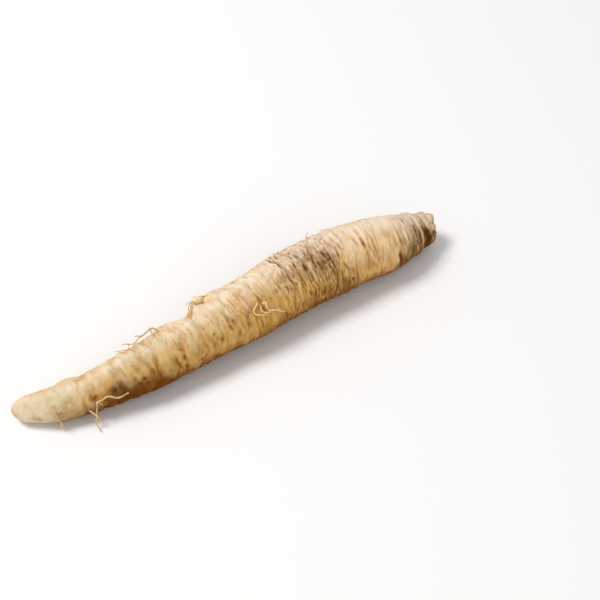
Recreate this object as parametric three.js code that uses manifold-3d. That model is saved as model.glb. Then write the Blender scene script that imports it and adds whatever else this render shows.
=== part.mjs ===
import * as THREE from "three";
import { mergeVertices } from "three/addons/utils/BufferGeometryUtils.js";
import Module from "manifold-3d";

// Deodeok root (bonnet bellflower root), one grown piece: a spindle of taproot from
// a blunt tip to a necked crown with its buds, with the fine rootlets and the one
// broken side root that grow out of it. It lies on its side on a flat surface.
// Millimetres. X runs from the tip to the crown, Z is up, and the surface is Z = 0.

const wasm = await Module();
wasm.setup();

// --- driving dimensions -----------------------------------------------------
const TIP_X = -87.4; // end of the tip
const CROWN_X = 83.2; // end of the neck, under the crown buds
const TIP_ROUND = 5.0; // length over which the tip closes
const CROWN_ROUND = 2.4; // length over which the crown end closes
const PRESS = 0.28; // depth to which the belly is flattened where it rests
const KNOT_START = -91.5; // first control station of the curves below
const KNOT_STEP = 9.0; // spacing of the control stations
const STATION = 1.5; // spacing of the rings of vertices along the body
const SECTORS = 22; // vertices in one ring of the body
const ROOTLET_SIDES = 5; // vertices in one ring of a rootlet
const ORIGIN_X = -2.0339; // centre of the finished root's box, before it is moved to 0
const ORIGIN_Y = -0.9994;

// Sideways course of the axis, radius of the body, and height of the underside
// above the surface, at the control stations from tip to crown.
const COURSE_Y = [
  6.03, 1.3, -2.77, -4.22, -5.18, -5.7, -5.49, -4.92, -4.22, -3.21, -2.04,
  -1.16, 0.13, 1.28, 1.48, 1.5, 1.3, 0.89, 1.85, 2.94, 4.6,
];
const RADIUS = [
  2.73, 4.6, 6.01, 6.39, 7.43, 8.41, 8.74, 9.24, 9.69, 10.24, 10.82, 11.15,
  11.43, 11.73, 11.62, 11.65, 11.24, 10.46, 8.59, 6.19, 3.73,
];
const LIFT = [
  0.9, 0.55, 0.15, 0.0, 0.0, 0.2, 0.45, 0.6, 0.6, 0.5, 0.35, 0.15, 0.05, 0.0,
  0.0, 0.0, 0.05, 0.1, 0.15, 0.55, 1.2,
];

// Rings of the neck below the crown: station, height (negative is a groove), half width.
const NECK_RINGS = [
  [66.3, 0.15, 0.9],
  [68.3, -0.22, 0.8],
  [70.6, -0.3, 0.8],
  [72.7, 0.36, 0.75],
  [75.6, -0.45, 1.3],
];

// Local swellings and hollows of the skin: station, turn about the axis in degrees
// (0 is front, 90 is up), height, half length along the root, half width in degrees.
const SWELLINGS = [
  [-29.9, 146, 0.85, 2.3, 30],
  [-21.2, 146, -1.25, 3.1, 32],
  [-7.4, 144, 1.75, 3.0, 30],
  [-9.2, 146, 0.6, 1.6, 22],
  [37.8, 140, -0.6, 1.5, 40],
  [40.6, 142, 0.2, 1.2, 40],
  [-68.5, 138, 1.3, 5.6, 34],
];

// Crown buds: station, turn about the axis in degrees (0 is front, 90 is up), how
// far the centre lies under the body's surface, and the half sizes along the root,
// around it and away from it.
const BUDS = [
  [79.6, 84, 0.6, 2.4, 2.6, 1.7],
  [79.2, 46, 0.8, 2.0, 2.2, 1.4],
  [79.6, 5, 0.9, 1.9, 2.0, 1.3],
  [79.0, 326, 0.8, 1.7, 1.8, 1.1],
  [80.0, 130, 0.8, 2.0, 2.3, 1.6],
  [80.3, 190, 0.8, 1.7, 2.2, 1.4],
];

// The broken side root and the rootlets: course of the axis, first radius, last radius.
const SIDE_ROOT = [
  [
    [-11.57, 1.43, 18.11],
    [-12.18, 2.92, 17.55],
    [-12.95, 4.51, 17.04],
    [-14.45, 4.96, 17.83],
    [-16.01, 4.7, 18.96],
  ],
  2,
  1.35,
];
const ROOTLETS = [
  // knotty rootlet along the back edge of the top
  [[[-31.89, -1.45, 16.99], [-32.02, -0.87, 16.48], [-32.86, 0.38, 17.32], [-33.56, 1.21, 17.7], [-34.69, 1.58, 17.94], [-36.06, 1.16, 17.9], [-37.04, 1.27, 17.02], [-38.42, 0.79, 17.11], [-39.74, 0.42, 17.15], [-41.02, -0.24, 17.12], [-42.02, -0.2, 16.4], [-43.1, -0.05, 16.28], [-43.96, 0.46, 16.54], [-45.06, 0.45, 17], [-45.9, 0.86, 16.82]], 0.5, 0.26],
  // its branch
  [[[-38.01, 0.81, 17.31], [-39.07, 1.01, 17.12], [-39.98, 0.98, 17.79], [-41.05, 0.75, 18.45]], 0.3, 0.16],
  // its second foot
  [[[-34.96, 1.47, 17.74], [-35.02, 0.25, 17.42], [-35.2, -1.13, 16.79], [-35.39, -2.26, 16.72]], 0.34, 0.34],
  // its end on the skin
  [[[-43.92, 0.34, 16.47], [-44.21, -0.66, 16.19], [-45.16, -1.55, 16.29], [-46.63, -1.04, 16.13], [-48.2, -0.37, 15.98], [-49.21, 0.35, 15.65]], 0.26, 0.14],
  // long forked rootlet at the front
  [[[-50.73, -12.53, 8.58], [-51.87, -13.52, 9.53], [-53.12, -13.8, 9.72], [-54.27, -13.84, 9.58], [-55.61, -13.55, 9.65], [-56.82, -13.13, 10.41], [-57.99, -12.6, 10.97], [-59.16, -12.28, 10.73], [-60.46, -12.11, 9.98], [-61.54, -11.76, 9.54], [-62.22, -11.64, 9.19], [-62.48, -12.28, 8.6], [-62.83, -12.72, 7.4], [-63.4, -13.11, 6], [-63.56, -13.5, 4.9], [-64.19, -13.86, 3.5], [-64.5, -14.5, 2.2], [-64.36, -15.38, 1.2], [-64.11, -16.8, 0.75]], 0.46, 0.24],
  // its side branch
  [[[-62.28, -11.42, 9.1], [-61.95, -11.93, 9.23], [-61.38, -12.19, 8.81], [-60.49, -12.41, 7.76]], 0.42, 0.2],
  // the rootlet that crosses it
  [[[-64.9, -10.13, 5.33], [-64.67, -11.77, 5.9], [-64.14, -12.51, 5.5], [-63.58, -13.54, 4.9], [-62.96, -14.32, 3.8], [-62.25, -15.47, 2.4]], 0.42, 0.22],
  // rootlet near the tip
  [[[-75.95, -6.29, 8.75], [-76.24, -7.52, 9.06], [-76.08, -8.35, 8.68], [-75.98, -8.99, 7.79], [-75.7, -9.3, 6.5], [-75.1, -9.2, 4.7], [-74.7, -9.1, 3.3], [-74.6, -9.1, 2.1], [-75.04, -9.57, 0.9]], 0.46, 0.26],
  // curled rootlets on the front flank
  [[[4.14, -8.41, 18.59], [4.66, -9.28, 19.24], [4.35, -10.29, 18.98], [4.47, -11.04, 18.32], [4.94, -11.52, 17.36], [6.23, -11.72, 16.82], [7.77, -11.83, 16.2], [9.26, -12.01, 15.04], [10.83, -12.08, 13.67]], 0.44, 0.22],
  [[[4.04, -10.59, 16.14], [3, -11.73, 16.48], [1.52, -11.89, 17.18], [0.06, -11.68, 17.87], [-0.75, -11.11, 18.46], [-0.77, -10.46, 19.1], [0.03, -9.77, 19.54], [1.09, -9.18, 19.72], [2.2, -8.06, 19.57]], 0.4, 0.24],
  [[[5.84, -10.95, 15.61], [4.47, -11.61, 16.57], [2.93, -11.53, 17.27], [2.17, -11, 18.04], [2.18, -10.17, 18.59], [2.83, -9.15, 18.49]], 0.3, 0.2],
  // short spike on the top
  [[[32.64, 9.71, 19.73], [32.52, 9.58, 21.25], [33, 10.04, 21.83], [33.73, 10.36, 22.41]], 0.26, 0.12],
  // rootlets on the back
  [[[-56.14, 1.23, 4.67], [-57.91, 2.27, 3.81], [-60.8, 2.48, 2.89], [-65.17, 2.23, 2.53], [-68.99, 2.8, 1.65]], 0.46, 0.22],
  [[[-22.68, 4.49, 8.63], [-23.56, 6.06, 8.18], [-25.37, 7.26, 7.45], [-28.2, 7.32, 6.81]], 0.62, 0.36],
  [[[10.75, 8.47, 5.43], [12.66, 9.66, 4.41], [15.82, 10.1, 3.98], [18.9, 10.12, 3.58], [22.37, 10.18, 2.56]], 0.42, 0.22],
  [[[44.18, 12.59, 13.72], [44.83, 13.9, 13.98], [46.19, 14.8, 13.66]], 0.36, 0.18],
];

// --- shape of the body ------------------------------------------------------
// Value at x of the smooth curve through the control stations.
function along(knots, x) {
  const u = (x - KNOT_START) / KNOT_STEP;
  const last = knots.length - 1;
  const i = Math.min(Math.max(Math.floor(u), 0), last - 1);
  const t = u - i;
  const k = (j) => knots[Math.min(Math.max(j, 0), last)];
  const [a, b, c, d] = [k(i - 1), k(i), k(i + 1), k(i + 2)];
  return (
    b +
    0.5 * t * (c - a + t * (2 * a - 5 * b + 4 * c - d + t * (3 * (b - c) + d - a)))
  );
}

const clamp01 = (v) => Math.min(Math.max(v, 0), 1);
const smooth = (a, b, v) => {
  const t = clamp01((v - a) / (b - a));
  return t * t * (3 - 2 * t);
};

// 1 on the free skin, falling to 0 on the belly that the root lies on.
const freeSkin = (f) => smooth(-0.96, -0.45, Math.sin(f));

// Closing of the two ends.
function ends(x) {
  const a = clamp01((x - TIP_X) / TIP_ROUND);
  const b = clamp01((CROWN_X - x) / CROWN_ROUND);
  return Math.sqrt(Math.max(0, 1 - (1 - a) ** 2)) * Math.sqrt(Math.max(0, 1 - (1 - b) ** 2));
}

// Uneven growth of the skin, in broad lumps.
function unevenness(x, f) {
  const lumps =
    0.2 * Math.sin(x / 5.3 + 0.8 + 1.1 * Math.cos(f)) +
    0.16 * Math.sin(x / 3.1 + 2.0 + 0.9 * Math.sin(f + 0.6)) +
    0.2 * Math.cos(2 * f + x / 21) +
    0.14 * Math.cos(3 * f - x / 13 + 1);
  return (freeSkin(f) * lumps * along(RADIUS, x)) / 11;
}

const neck = (x) =>
  NECK_RINGS.reduce((sum, [c, h, w]) => sum + h * Math.exp(-(((x - c) / w) ** 2)), 0);

const swelling = (x, f) =>
  SWELLINGS.reduce((sum, [c, turn, h, w, spread]) => {
    const d = ((((THREE.MathUtils.radToDeg(f) - turn + 180) % 360) + 360) % 360) - 180;
    return sum + h * Math.exp(-(((x - c) / w) ** 2) - (d / spread) ** 2);
  }, 0);

const bodyRadius = (x, f) =>
  (along(RADIUS, x) + unevenness(x, f) + neck(x) + swelling(x, f)) * ends(x);

const axisPoint = (x) =>
  new THREE.Vector3(x, along(COURSE_Y, x), along(RADIUS, x) + along(LIFT, x) - PRESS);

// Directions at station x: front (level, towards -Y) and up, square to the axis.
function axisFrame(x) {
  const tangent = axisPoint(x + 0.05).sub(axisPoint(x - 0.05)).normalize();
  const front = new THREE.Vector3(tangent.y, -tangent.x, 0).normalize();
  const up = new THREE.Vector3().crossVectors(tangent, front).normalize();
  if (up.z < 0) up.negate();
  return { tangent, front, up };
}

// Point at station x and turn f, at the distance r from the axis.
function aroundAxis(x, f, r) {
  const { front, up } = axisFrame(x);
  return axisPoint(x)
    .addScaledVector(front, r * Math.cos(f))
    .addScaledVector(up, r * Math.sin(f));
}

// --- solids -----------------------------------------------------------------
// A closed three.js geometry as a solid, with its shared vertices merged.
function solidOf(geometry) {
  const g = geometry.clone();
  g.deleteAttribute("normal");
  g.deleteAttribute("uv");
  const merged = mergeVertices(g, 1e-4);
  const index = merged.index.array;
  const triVerts = [];
  for (let i = 0; i < index.length; i += 3) {
    const [a, b, c] = [index[i], index[i + 1], index[i + 2]];
    if (a !== b && b !== c && c !== a) triVerts.push(a, b, c);
  }
  return new wasm.Manifold(
    new wasm.Mesh({
      numProp: 3,
      vertProperties: new Float32Array(merged.attributes.position.array),
      triVerts: new Uint32Array(triVerts),
    }),
  );
}

// Moves every vertex of a geometry.
function reshape(geometry, move) {
  const p = geometry.getAttribute("position");
  const v = new THREE.Vector3();
  for (let i = 0; i < p.count; i++) {
    v.copy(move(v.fromBufferAttribute(p, i)));
    p.setXYZ(i, v.x, v.y, v.z);
  }
  return geometry;
}

// The spindle: a lathed profile, laid along the curved axis.
function spindle() {
  const stations = [TIP_X];
  for (const a of [0.1, 0.45, 1.1, 2.1, 3.3, 4.6]) stations.push(TIP_X + a);
  const first = TIP_X + TIP_ROUND;
  const last = CROWN_X - CROWN_ROUND;
  const count = Math.round((last - first) / STATION);
  for (let i = 0; i <= count; i++) stations.push(first + ((last - first) * i) / count);
  for (const a of [1.7, 0.95, 0.45, 0.12, 0]) stations.push(CROWN_X - a);
  const profile = stations.map((x, i) => {
    const closed = i === 0 || i === stations.length - 1;
    return new THREE.Vector2(closed ? 0 : along(RADIUS, x) * ends(x), x);
  });
  const lathed = new THREE.LatheGeometry(profile, SECTORS);
  return reshape(lathed, (v) => {
    const r = Math.hypot(v.x, v.z);
    if (r < 1e-6) return axisPoint(v.y);
    const f = -Math.atan2(v.x, v.z);
    return aroundAxis(v.y, f, bodyRadius(v.y, f));
  });
}

// A tapering tube along a smooth course, closed at both ends.
function taper(course, r0, r1, sides, perPoint) {
  const curve = new THREE.CatmullRomCurve3(course.map((p) => new THREE.Vector3(...p)));
  const steps = (course.length - 1) * perPoint;
  const frames = curve.computeFrenetFrames(steps, false);
  const profile = [new THREE.Vector2(0, 0)];
  for (let i = 0; i <= steps; i++)
    profile.push(new THREE.Vector2(r0 + ((r1 - r0) * i) / steps, i));
  profile.push(new THREE.Vector2(0, steps + 1));
  const lathed = new THREE.LatheGeometry(profile, sides);
  return reshape(lathed, (v) => {
    const i = Math.min(Math.round(v.y), steps);
    const at = curve.getPointAt(i / steps);
    if (v.y > steps) at.addScaledVector(frames.tangents[steps], r1 * 0.6);
    return at
      .addScaledVector(frames.normals[i], v.z)
      .addScaledVector(frames.binormals[i], v.x);
  });
}

// A bud: an egg shape set into the crown.
function bud([x, turn, depth, a, b, c]) {
  const f = THREE.MathUtils.degToRad(turn);
  const { tangent, front, up } = axisFrame(x);
  const out = front.clone().multiplyScalar(Math.cos(f)).addScaledVector(up, Math.sin(f));
  const round = new THREE.Vector3().crossVectors(tangent, out);
  const centre = aroundAxis(x, f, bodyRadius(x, f) - depth);
  const basis = new THREE.Matrix4().makeBasis(tangent, out, new THREE.Vector3().crossVectors(tangent, out));
  basis.setPosition(centre);
  return new THREE.SphereGeometry(1, 10, 7)
    .applyMatrix4(new THREE.Matrix4().makeScale(a, c, b))
    .applyMatrix4(basis);
}

let root = solidOf(spindle());
root = root.add(solidOf(taper(...SIDE_ROOT, 10, 2)));
for (const b of BUDS) root = root.add(solidOf(bud(b)));
for (const [course, r0, r1] of ROOTLETS)
  root = root.add(solidOf(taper(course, r0, r1, ROOTLET_SIDES, course.length > 8 ? 1 : 2)));

// The belly is flattened where the root lies on the surface.
const under = new THREE.BoxGeometry(260, 120, 20);
under.translate(0, 0, -10);
root = root.subtract(solidOf(under));

// --- the finished piece -----------------------------------------------------
const made = root.getMesh();
const positions = new Float32Array(made.numVert * 3);
for (let i = 0; i < made.numVert; i++)
  for (let k = 0; k < 3; k++)
    positions[3 * i + k] = made.vertProperties[made.numProp * i + k];
const geometry = new THREE.BufferGeometry();
geometry.setAttribute("position", new THREE.BufferAttribute(positions, 3));
geometry.setIndex(new THREE.BufferAttribute(new Uint32Array(made.triVerts), 1));
geometry.translate(-ORIGIN_X, -ORIGIN_Y, 0);
geometry.computeVertexNormals();

const skin = new THREE.MeshStandardMaterial({
  color: new THREE.Color(0.84, 0.71, 0.5),
  roughness: 0.72,
  metalness: 0,
});

const deodeokRoot = new THREE.Mesh(geometry, skin);
deodeokRoot.name = "deodeok_root";

const group = new THREE.Group();
group.add(deodeokRoot);

export default group;
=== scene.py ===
"""A deodeok root (bonnet bellflower root), one grown piece, lying on a pale studio floor.

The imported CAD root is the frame. Its node is hidden, and one finely modelled skin mesh stands
for it: the same spindle along the same bent axis, with its rings, creases, pits, crown buds,
broken side root and rootlets. Lengths below are in millimetres unless a name says otherwise;
x runs from the tip to the crown, and a turn is the angle about the axis in degrees, 0 at the
front (-Y), 90 on top, 180 at the back and 270 underneath.
"""
import math

import bpy
import numpy as np
from mathutils import Matrix, Vector
from mathutils.kdtree import KDTree


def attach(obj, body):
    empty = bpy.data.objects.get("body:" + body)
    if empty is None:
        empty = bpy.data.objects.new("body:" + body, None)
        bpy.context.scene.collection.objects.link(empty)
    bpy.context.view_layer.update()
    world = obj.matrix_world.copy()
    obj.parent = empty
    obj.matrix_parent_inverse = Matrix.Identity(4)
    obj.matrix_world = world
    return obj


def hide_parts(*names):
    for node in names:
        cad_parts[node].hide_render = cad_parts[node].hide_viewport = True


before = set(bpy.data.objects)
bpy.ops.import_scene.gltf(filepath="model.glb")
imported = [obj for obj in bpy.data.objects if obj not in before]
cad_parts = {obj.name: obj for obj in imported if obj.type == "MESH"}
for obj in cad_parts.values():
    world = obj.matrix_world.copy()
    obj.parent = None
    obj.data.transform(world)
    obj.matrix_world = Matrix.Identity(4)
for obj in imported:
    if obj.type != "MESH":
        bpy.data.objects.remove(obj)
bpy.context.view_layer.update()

NODE = "deodeok_root"
MM = 0.001
rng = np.random.default_rng(20417)

# --- the spindle, as in the CAD part -------------------------------------------------------
ORIGIN = np.array([-2.0339, -0.9994, 0.0])  # taken off every point at the end
X_TIP, X_CROWN = -87.4, 83.2
CAP_TIP, CAP_CROWN = 5.0, 2.4
SINK = 0.28
KNOT_X, KNOT_STEP = -91.5, 9.0
COURSE_Y = np.array([6.03, 1.30, -2.77, -4.22, -5.18, -5.70, -5.49, -4.92, -4.22, -3.21, -2.04,
                     -1.16, 0.13, 1.28, 1.48, 1.50, 1.30, 0.89, 1.85, 2.94, 4.60])
RADIUS = np.array([2.73, 4.60, 6.01, 6.39, 7.43, 8.41, 8.74, 9.24, 9.69, 10.24, 10.82,
                   11.15, 11.43, 11.73, 11.62, 11.65, 11.24, 10.46, 8.59, 6.19, 3.73])
LIFT = np.array([0.90, 0.55, 0.15, 0.00, 0.00, 0.20, 0.45, 0.60, 0.60, 0.50, 0.35,
                 0.15, 0.05, 0.00, 0.00, 0.00, 0.05, 0.10, 0.15, 0.55, 1.20])
NECK_RINGS = [(66.3, 0.15, 0.9), (68.3, -0.22, 0.8), (70.6, -0.30, 0.8), (72.7, 0.36, 0.75),
              (75.6, -0.45, 1.3)]
SWELLINGS = [(-29.9, 146, 0.85, 2.3, 30), (-21.2, 146, -1.25, 3.1, 32), (-7.4, 144, 1.75, 3.0, 30),
             (-9.2, 146, 0.60, 1.6, 22), (37.8, 140, -0.60, 1.5, 40), (40.6, 142, 0.20, 1.2, 40),
             (-68.5, 138, 1.30, 5.6, 34)]
BUDS = [  # station, turn, how deep, half length, half width, half height, outward lean, pale, rust, umber, blush
    (80.2, 84, 1.0, 3.0, 2.6, 1.7, 8, 0.95, 0.00, 0.00, 0.15),
    (79.3, 44, 1.0, 2.4, 1.7, 1.5, 14, 0.60, 0.05, 0.00, 0.75),
    (79.8, 14, 1.2, 1.9, 1.5, 1.5, 24, 0.05, 0.70, 0.30, 0.10),
    (79.6, 322, 1.0, 1.8, 1.9, 1.2, 12, 0.05, 0.45, 0.45, 0.00),
    (80.4, 128, 1.1, 2.1, 2.2, 1.6, 18, 0.45, 0.25, 0.10, 0.20),
    (80.6, 172, 1.2, 1.7, 1.7, 1.4, 26, 0.20, 0.55, 0.20, 0.10),
    (79.8, 214, 1.0, 1.6, 1.8, 1.1, 10, 0.10, 0.40, 0.40, 0.00),
    (82.0, 62, 3.6, 1.7, 1.4, 1.4, 0, 0.35, 0.35, 0.10, 0.30),
]

# Creases, pits and stained spots seen one by one: line of (station, turn) points, half width,
# depth, how brown, and kind (u umber, o olive, c ochre, p plum, r rust).
MARKS = [
    (((21.2, 86), (20.8, 72)), 0.30, 0.40, 0.85, 'u'),
    (((23.8, 73), (23.8, 66), (23.5, 56)), 0.60, 0.50, 1.00, 'u'),
    (((23.5, 56), (23.2, 46), (23.2, 34)), 0.30, 0.26, 0.45, 'u'),
    (((30.0, 81), (30.2, 74)), 0.30, 0.25, 0.55, 'u'),
    (((32.0, 81), (32.2, 72), (32.8, 66)), 0.37, 0.42, 0.90, 'u'),
    (((32.2, 61), (33.2, 59), (34.5, 58)), 0.30, 0.40, 0.85, 'u'),
    (((30.5, 62), (31.0, 58), (31.5, 54)), 0.33, 0.40, 0.85, 'u'),
    (((28.5, 63), (29.0, 56)), 0.30, 0.30, 0.65, 'u'),
    (((26.5, 51), (26.8, 46)), 0.33, 0.26, 0.50, 'u'),
    (((38.2, 43), (39.0, 31)), 0.30, 0.30, 0.55, 'o'),
    (((36.8, 34), (36.2, 18), (36.2, -3)), 0.26, 0.32, 0.65, 'u'),
    (((21.8, 107), (21.5, 90)), 0.26, 0.25, 0.40, 'p'),
    (((24.5, 105), (24.5, 92)), 0.33, 0.22, 0.35, 'p'),
    (((27.2, 103), (26.8, 88)), 0.37, 0.22, 0.38, 'p'),
    (((16.8, 76), (16.2, 66), (16.5, 54), (16.2, 41)), 0.26, 0.35, 0.70, 'u'),
    (((18.8, 68), (17.8, 58)), 0.30, 0.28, 0.55, 'u'),
    (((23.5, 80), (24.2, 76)), 0.30, 0.28, 0.60, 'o'),
    (((18.2, 51), (18.0, 44)), 0.30, 0.25, 0.50, 'u'),
    (((39.5, 79), (39.5, 70)), 0.37, 0.25, 0.45, 'o'),
    (((38.2, 92), (39.2, 87)), 0.30, 0.18, 0.35, 'o'),
    (((32.2, 38), (33.0, 30)), 0.33, 0.22, 0.45, 'p'),
    (((34.2, 28), (34.2, 22)), 0.26, 0.25, 0.50, 'u'),
    (((29.8, 27), (30.0, 19)), 0.30, 0.22, 0.40, 'u'),
    (((19.8, 41), (19.5, 30), (19.0, 20)), 0.26, 0.25, 0.45, 'u'),
    (((24.8, 52), (24.8, 36), (24.5, 23)), 0.22, 0.22, 0.35, 'u'),
    (((28.8, 44), (28.5, 29)), 0.26, 0.18, 0.30, 'u'),
    (((28.2, 88), (28.0, 76)), 0.26, 0.25, 0.40, 'p'),
    (((20.8, 72), (20.8, 59), (20.2, 46)), 0.22, 0.24, 0.40, 'u'),
    (((35.2, 92), (35.5, 81)), 0.26, 0.20, 0.40, 'p'),
    (((36.5, 81), (36.2, 70)), 0.26, 0.22, 0.40, 'r'),
    (((27.8, 66), (27.8, 55)), 0.26, 0.22, 0.40, 'u'),
    (((48.0, 98), (48.0, 88), (47.9, 78)), 0.45, 0.32, 0.55, 'c'),
    (((60.7, 26), (61.2, 8), (62.0, -14), (62.8, -34)), 0.45, 0.32, 0.80, 'u'),
    (((-62.2, 100), (-62.4, 140)), 0.80, 0.34, 0.30, 'c'),
    (((-58.2, 104), (-58.4, 138)), 0.60, 0.26, 0.25, 'c'),
    (((-51.4, 102), (-51.6, 140)), 0.80, 0.34, 0.30, 'c'),
    (((-46.0, 110), (-46.2, 136)), 0.50, 0.22, 0.25, 'c'),
    (((-38.6, 108), (-38.8, 138)), 0.60, 0.24, 0.25, 'c'),
    (((47.9, 76), (48.0, 64), (48.3, 52)), 0.44, 0.34, 0.50, 'r'),
    (((48.0, 67), (48.3, 56)), 0.34, 0.20, 0.45, 'u'),
    (((51.9, 92), (51.6, 76), (51.8, 62), (52.0, 44), (52.3, 29)), 0.36, 0.30, 0.55, 'c'),
    (((51.6, 73), (51.8, 60)), 0.26, 0.15, 0.45, 'u'),
    (((45.2, 80), (45.5, 70), (46.0, 60)), 0.26, 0.22, 0.45, 'u'),
    (((38.2, 44), (38.8, 30)), 0.30, 0.28, 0.65, 'u'),
    (((40.2, 9), (41.0, 1)), 0.37, 0.35, 0.90, 'u'),
    (((38.8, 5), (39.2, -3)), 0.37, 0.32, 0.85, 'u'),
    (((42.2, 23), (42.5, 9), (43.2, -10)), 0.26, 0.25, 0.50, 'u'),
    (((48.5, 51), (48.2, 33), (47.8, 3)), 0.22, 0.22, 0.35, 'u'),
    (((55.2, 47), (55.2, 38), (55.0, 26)), 0.26, 0.20, 0.35, 'c'),
    (((50.5, 43), (51.2, 19), (52.0, -5)), 0.22, 0.20, 0.30, 'c'),
    (((56.5, 31), (57.5, 7), (58.5, -19)), 0.22, 0.18, 0.28, 'c'),
    (((61.4, 66), (61.6, 48), (62.4, 28)), 0.36, 0.26, 0.65, 'p'),
    (((60.2, 21), (61.2, 5)), 0.45, 0.35, 0.90, 'u'),
    (((62.5, 4), (67.5, -44)), 0.33, 0.25, 0.60, 'u'),
    (((64.8, 51), (64.8, 36)), 0.41, 0.25, 0.60, 'p'),
    (((65.2, 32), (66.0, 19), (68.5, -7)), 0.82, 0.25, 0.85, 'p'),
    (((71.0, 47), (71.8, 9)), 0.30, 0.30, 0.75, 'u'),
    (((73.6, 57), (75.0, 42), (76.5, 22), (77.2, 0), (77.9, -30)), 0.67, 0.50, 1.00, 'u'),
    (((82.5, 78), (80.0, 50)), 0.26, 0.25, 0.50, 'u'),
    (((73.5, 83), (72.8, 63)), 0.30, 0.20, 0.45, 'p'),
    (((15.0, 96), (14.5, 88)), 0.33, 0.15, 0.35, 'c'),
    (((21.5, 114), (21.2, 96)), 0.22, 0.20, 0.40, 'p'),
    (((12.8, 68), (12.5, 62)), 0.33, 0.22, 0.60, 'o'),
    (((13.8, 66), (14.0, 62), (15.2, 63)), 0.20, 0.25, 0.60, 'o'),
    (((13.2, 53), (14.0, 50), (13.5, 41)), 0.33, 0.36, 0.90, 'u'),
    (((9.8, 59), (10.0, 51)), 0.30, 0.22, 0.60, 'o'),
    (((2.5, 62), (2.8, 55), (3.2, 48)), 0.33, 0.30, 0.80, 'o'),
    (((4.0, 61), (4.5, 57)), 0.30, 0.28, 0.80, 'o'),
    (((6.2, 50), (6.8, 45)), 0.33, 0.25, 0.65, 'o'),
    (((2.8, 42), (3.0, 32)), 0.33, 0.50, 1.00, 'u'),
    (((3.2, 35), (4.0, 32)), 0.26, 0.35, 0.80, 'u'),
    (((1.0, 46), (1.5, 41)), 0.37, 0.28, 0.60, 'o'),
    (((9.0, 30), (9.2, 25)), 0.26, 0.20, 0.45, 'r'),
    (((-2.5, 49), (-3.0, 41)), 0.26, 0.20, 0.50, 'u'),
    (((-4.0, 44), (-4.2, 34)), 0.30, 0.24, 0.55, 'u'),
    (((-4.8, 33), (-4.2, 19)), 0.30, 0.22, 0.50, 'u'),
    (((-9.2, 51), (-9.0, 43)), 0.37, 0.32, 0.80, 'r'),
    (((-10.0, 62), (-10.5, 48)), 0.26, 0.24, 0.55, 'u'),
    (((-11.0, 44), (-10.2, 31)), 0.30, 0.26, 0.60, 'u'),
    (((-9.5, 80), (-10.0, 72)), 0.22, 0.12, 0.30, 'u'),
    (((-1.2, 34), (-1.0, 23)), 0.22, 0.15, 0.35, 'u'),
    (((4.5, 27), (4.8, 21)), 0.33, 0.24, 0.60, 'u'),
    (((9.8, 13), (10.0, -11)), 0.30, 0.22, 0.50, 'c'),
    (((8.8, -7), (10.5, -33)), 0.33, 0.20, 0.50, 'o'),
    (((2.8, 109), (2.2, 98)), 0.33, 0.15, 0.40, 'c'),
    (((-5.8, 98), (-5.8, 93)), 0.22, 0.10, 0.25, 'c'),
    (((-3.2, 85), (-3.5, 79)), 0.26, 0.10, 0.30, 'c'),
    (((-17.0, 46), (-17.0, 42)), 0.37, 0.32, 0.85, 'u'),
    (((-16.8, 40), (-16.2, 30), (-15.2, 22)), 0.37, 0.20, 0.50, 'o'),
    (((-15.0, 24), (-15.0, 20)), 0.30, 0.22, 0.60, 'u'),
    (((-16.2, 22), (-15.5, 14)), 0.30, 0.14, 0.40, 'c'),
    (((-23.0, 22), (-22.8, 20)), 0.41, 0.28, 0.80, 'u'),
    (((-22.5, 13), (-22.2, 8)), 0.33, 0.24, 0.70, 'u'),
    (((-23.8, 7), (-23.5, 2)), 0.33, 0.22, 0.65, 'r'),
    (((-20.0, 1), (-18.0, -22)), 0.60, 0.15, 0.75, 'r'),
    (((-29.5, 37), (-29.5, 24)), 0.41, 0.26, 0.85, 'u'),
    (((-32.2, 35), (-31.8, 14), (-30.8, 2)), 0.30, 0.26, 0.65, 'u'),
    (((-30.0, 12), (-29.2, -3)), 0.33, 0.20, 0.50, 'u'),
    (((-27.0, 50), (-27.0, 42)), 0.30, 0.10, 0.30, 'c'),
    (((-20.5, 92), (-21.0, 80), (-21.0, 72)), 0.48, 0.10, 0.30, 'o'),
    (((-21.2, 33), (-20.8, 27)), 0.22, 0.14, 0.40, 'o'),
    (((-29.0, 65), (-28.8, 60)), 0.30, 0.12, 0.35, 'o'),
    (((-28.5, 116), (-28.5, 113)), 0.22, 0.14, 0.40, 'u'),
    (((-27.2, 107), (-27.5, 103)), 0.22, 0.14, 0.40, 'u'),
    (((-36.0, 110), (-36.8, 97)), 0.26, 0.12, 0.30, 'p'),
    (((-16.8, 71), (-17.2, 64)), 0.26, 0.12, 0.35, 'o'),
    (((-52.5, 42), (-52.0, 32), (-52.0, 22)), 0.82, 0.12, 0.75, 'o'),
    (((-51.0, 32), (-51.0, 18)), 0.56, 0.14, 0.75, 'u'),
    (((-61.0, 39), (-60.8, 32)), 0.56, 0.16, 0.75, 'u'),
    (((-45.0, 31), (-44.0, 27)), 0.41, 0.32, 0.90, 'u'),
    (((-44.2, 22), (-43.8, 12)), 0.37, 0.22, 0.70, 'u'),
    (((-46.2, 28), (-46.0, 19), (-45.8, 10)), 0.52, 0.16, 0.65, 'r'),
    (((-47.2, 42), (-46.8, 35)), 0.60, 0.10, 0.50, 'u'),
    (((-41.0, 41), (-41.0, 27)), 0.45, 0.16, 0.60, 'u'),
    (((-54.8, 30), (-54.2, 19), (-53.8, 9)), 0.60, 0.12, 0.60, 'u'),
    (((-56.0, 40), (-55.8, 31)), 0.45, 0.08, 0.40, 'u'),
    (((-44.8, 9), (-43.0, -17)), 0.56, 0.08, 0.55, 'c'),
    (((-57.5, 140), (-57.2, 124)), 0.33, 0.06, 0.30, 'o'),
    (((-79.5, -3), (-77.8, -2)), 0.60, 0.05, 0.50, 'r'),
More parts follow.
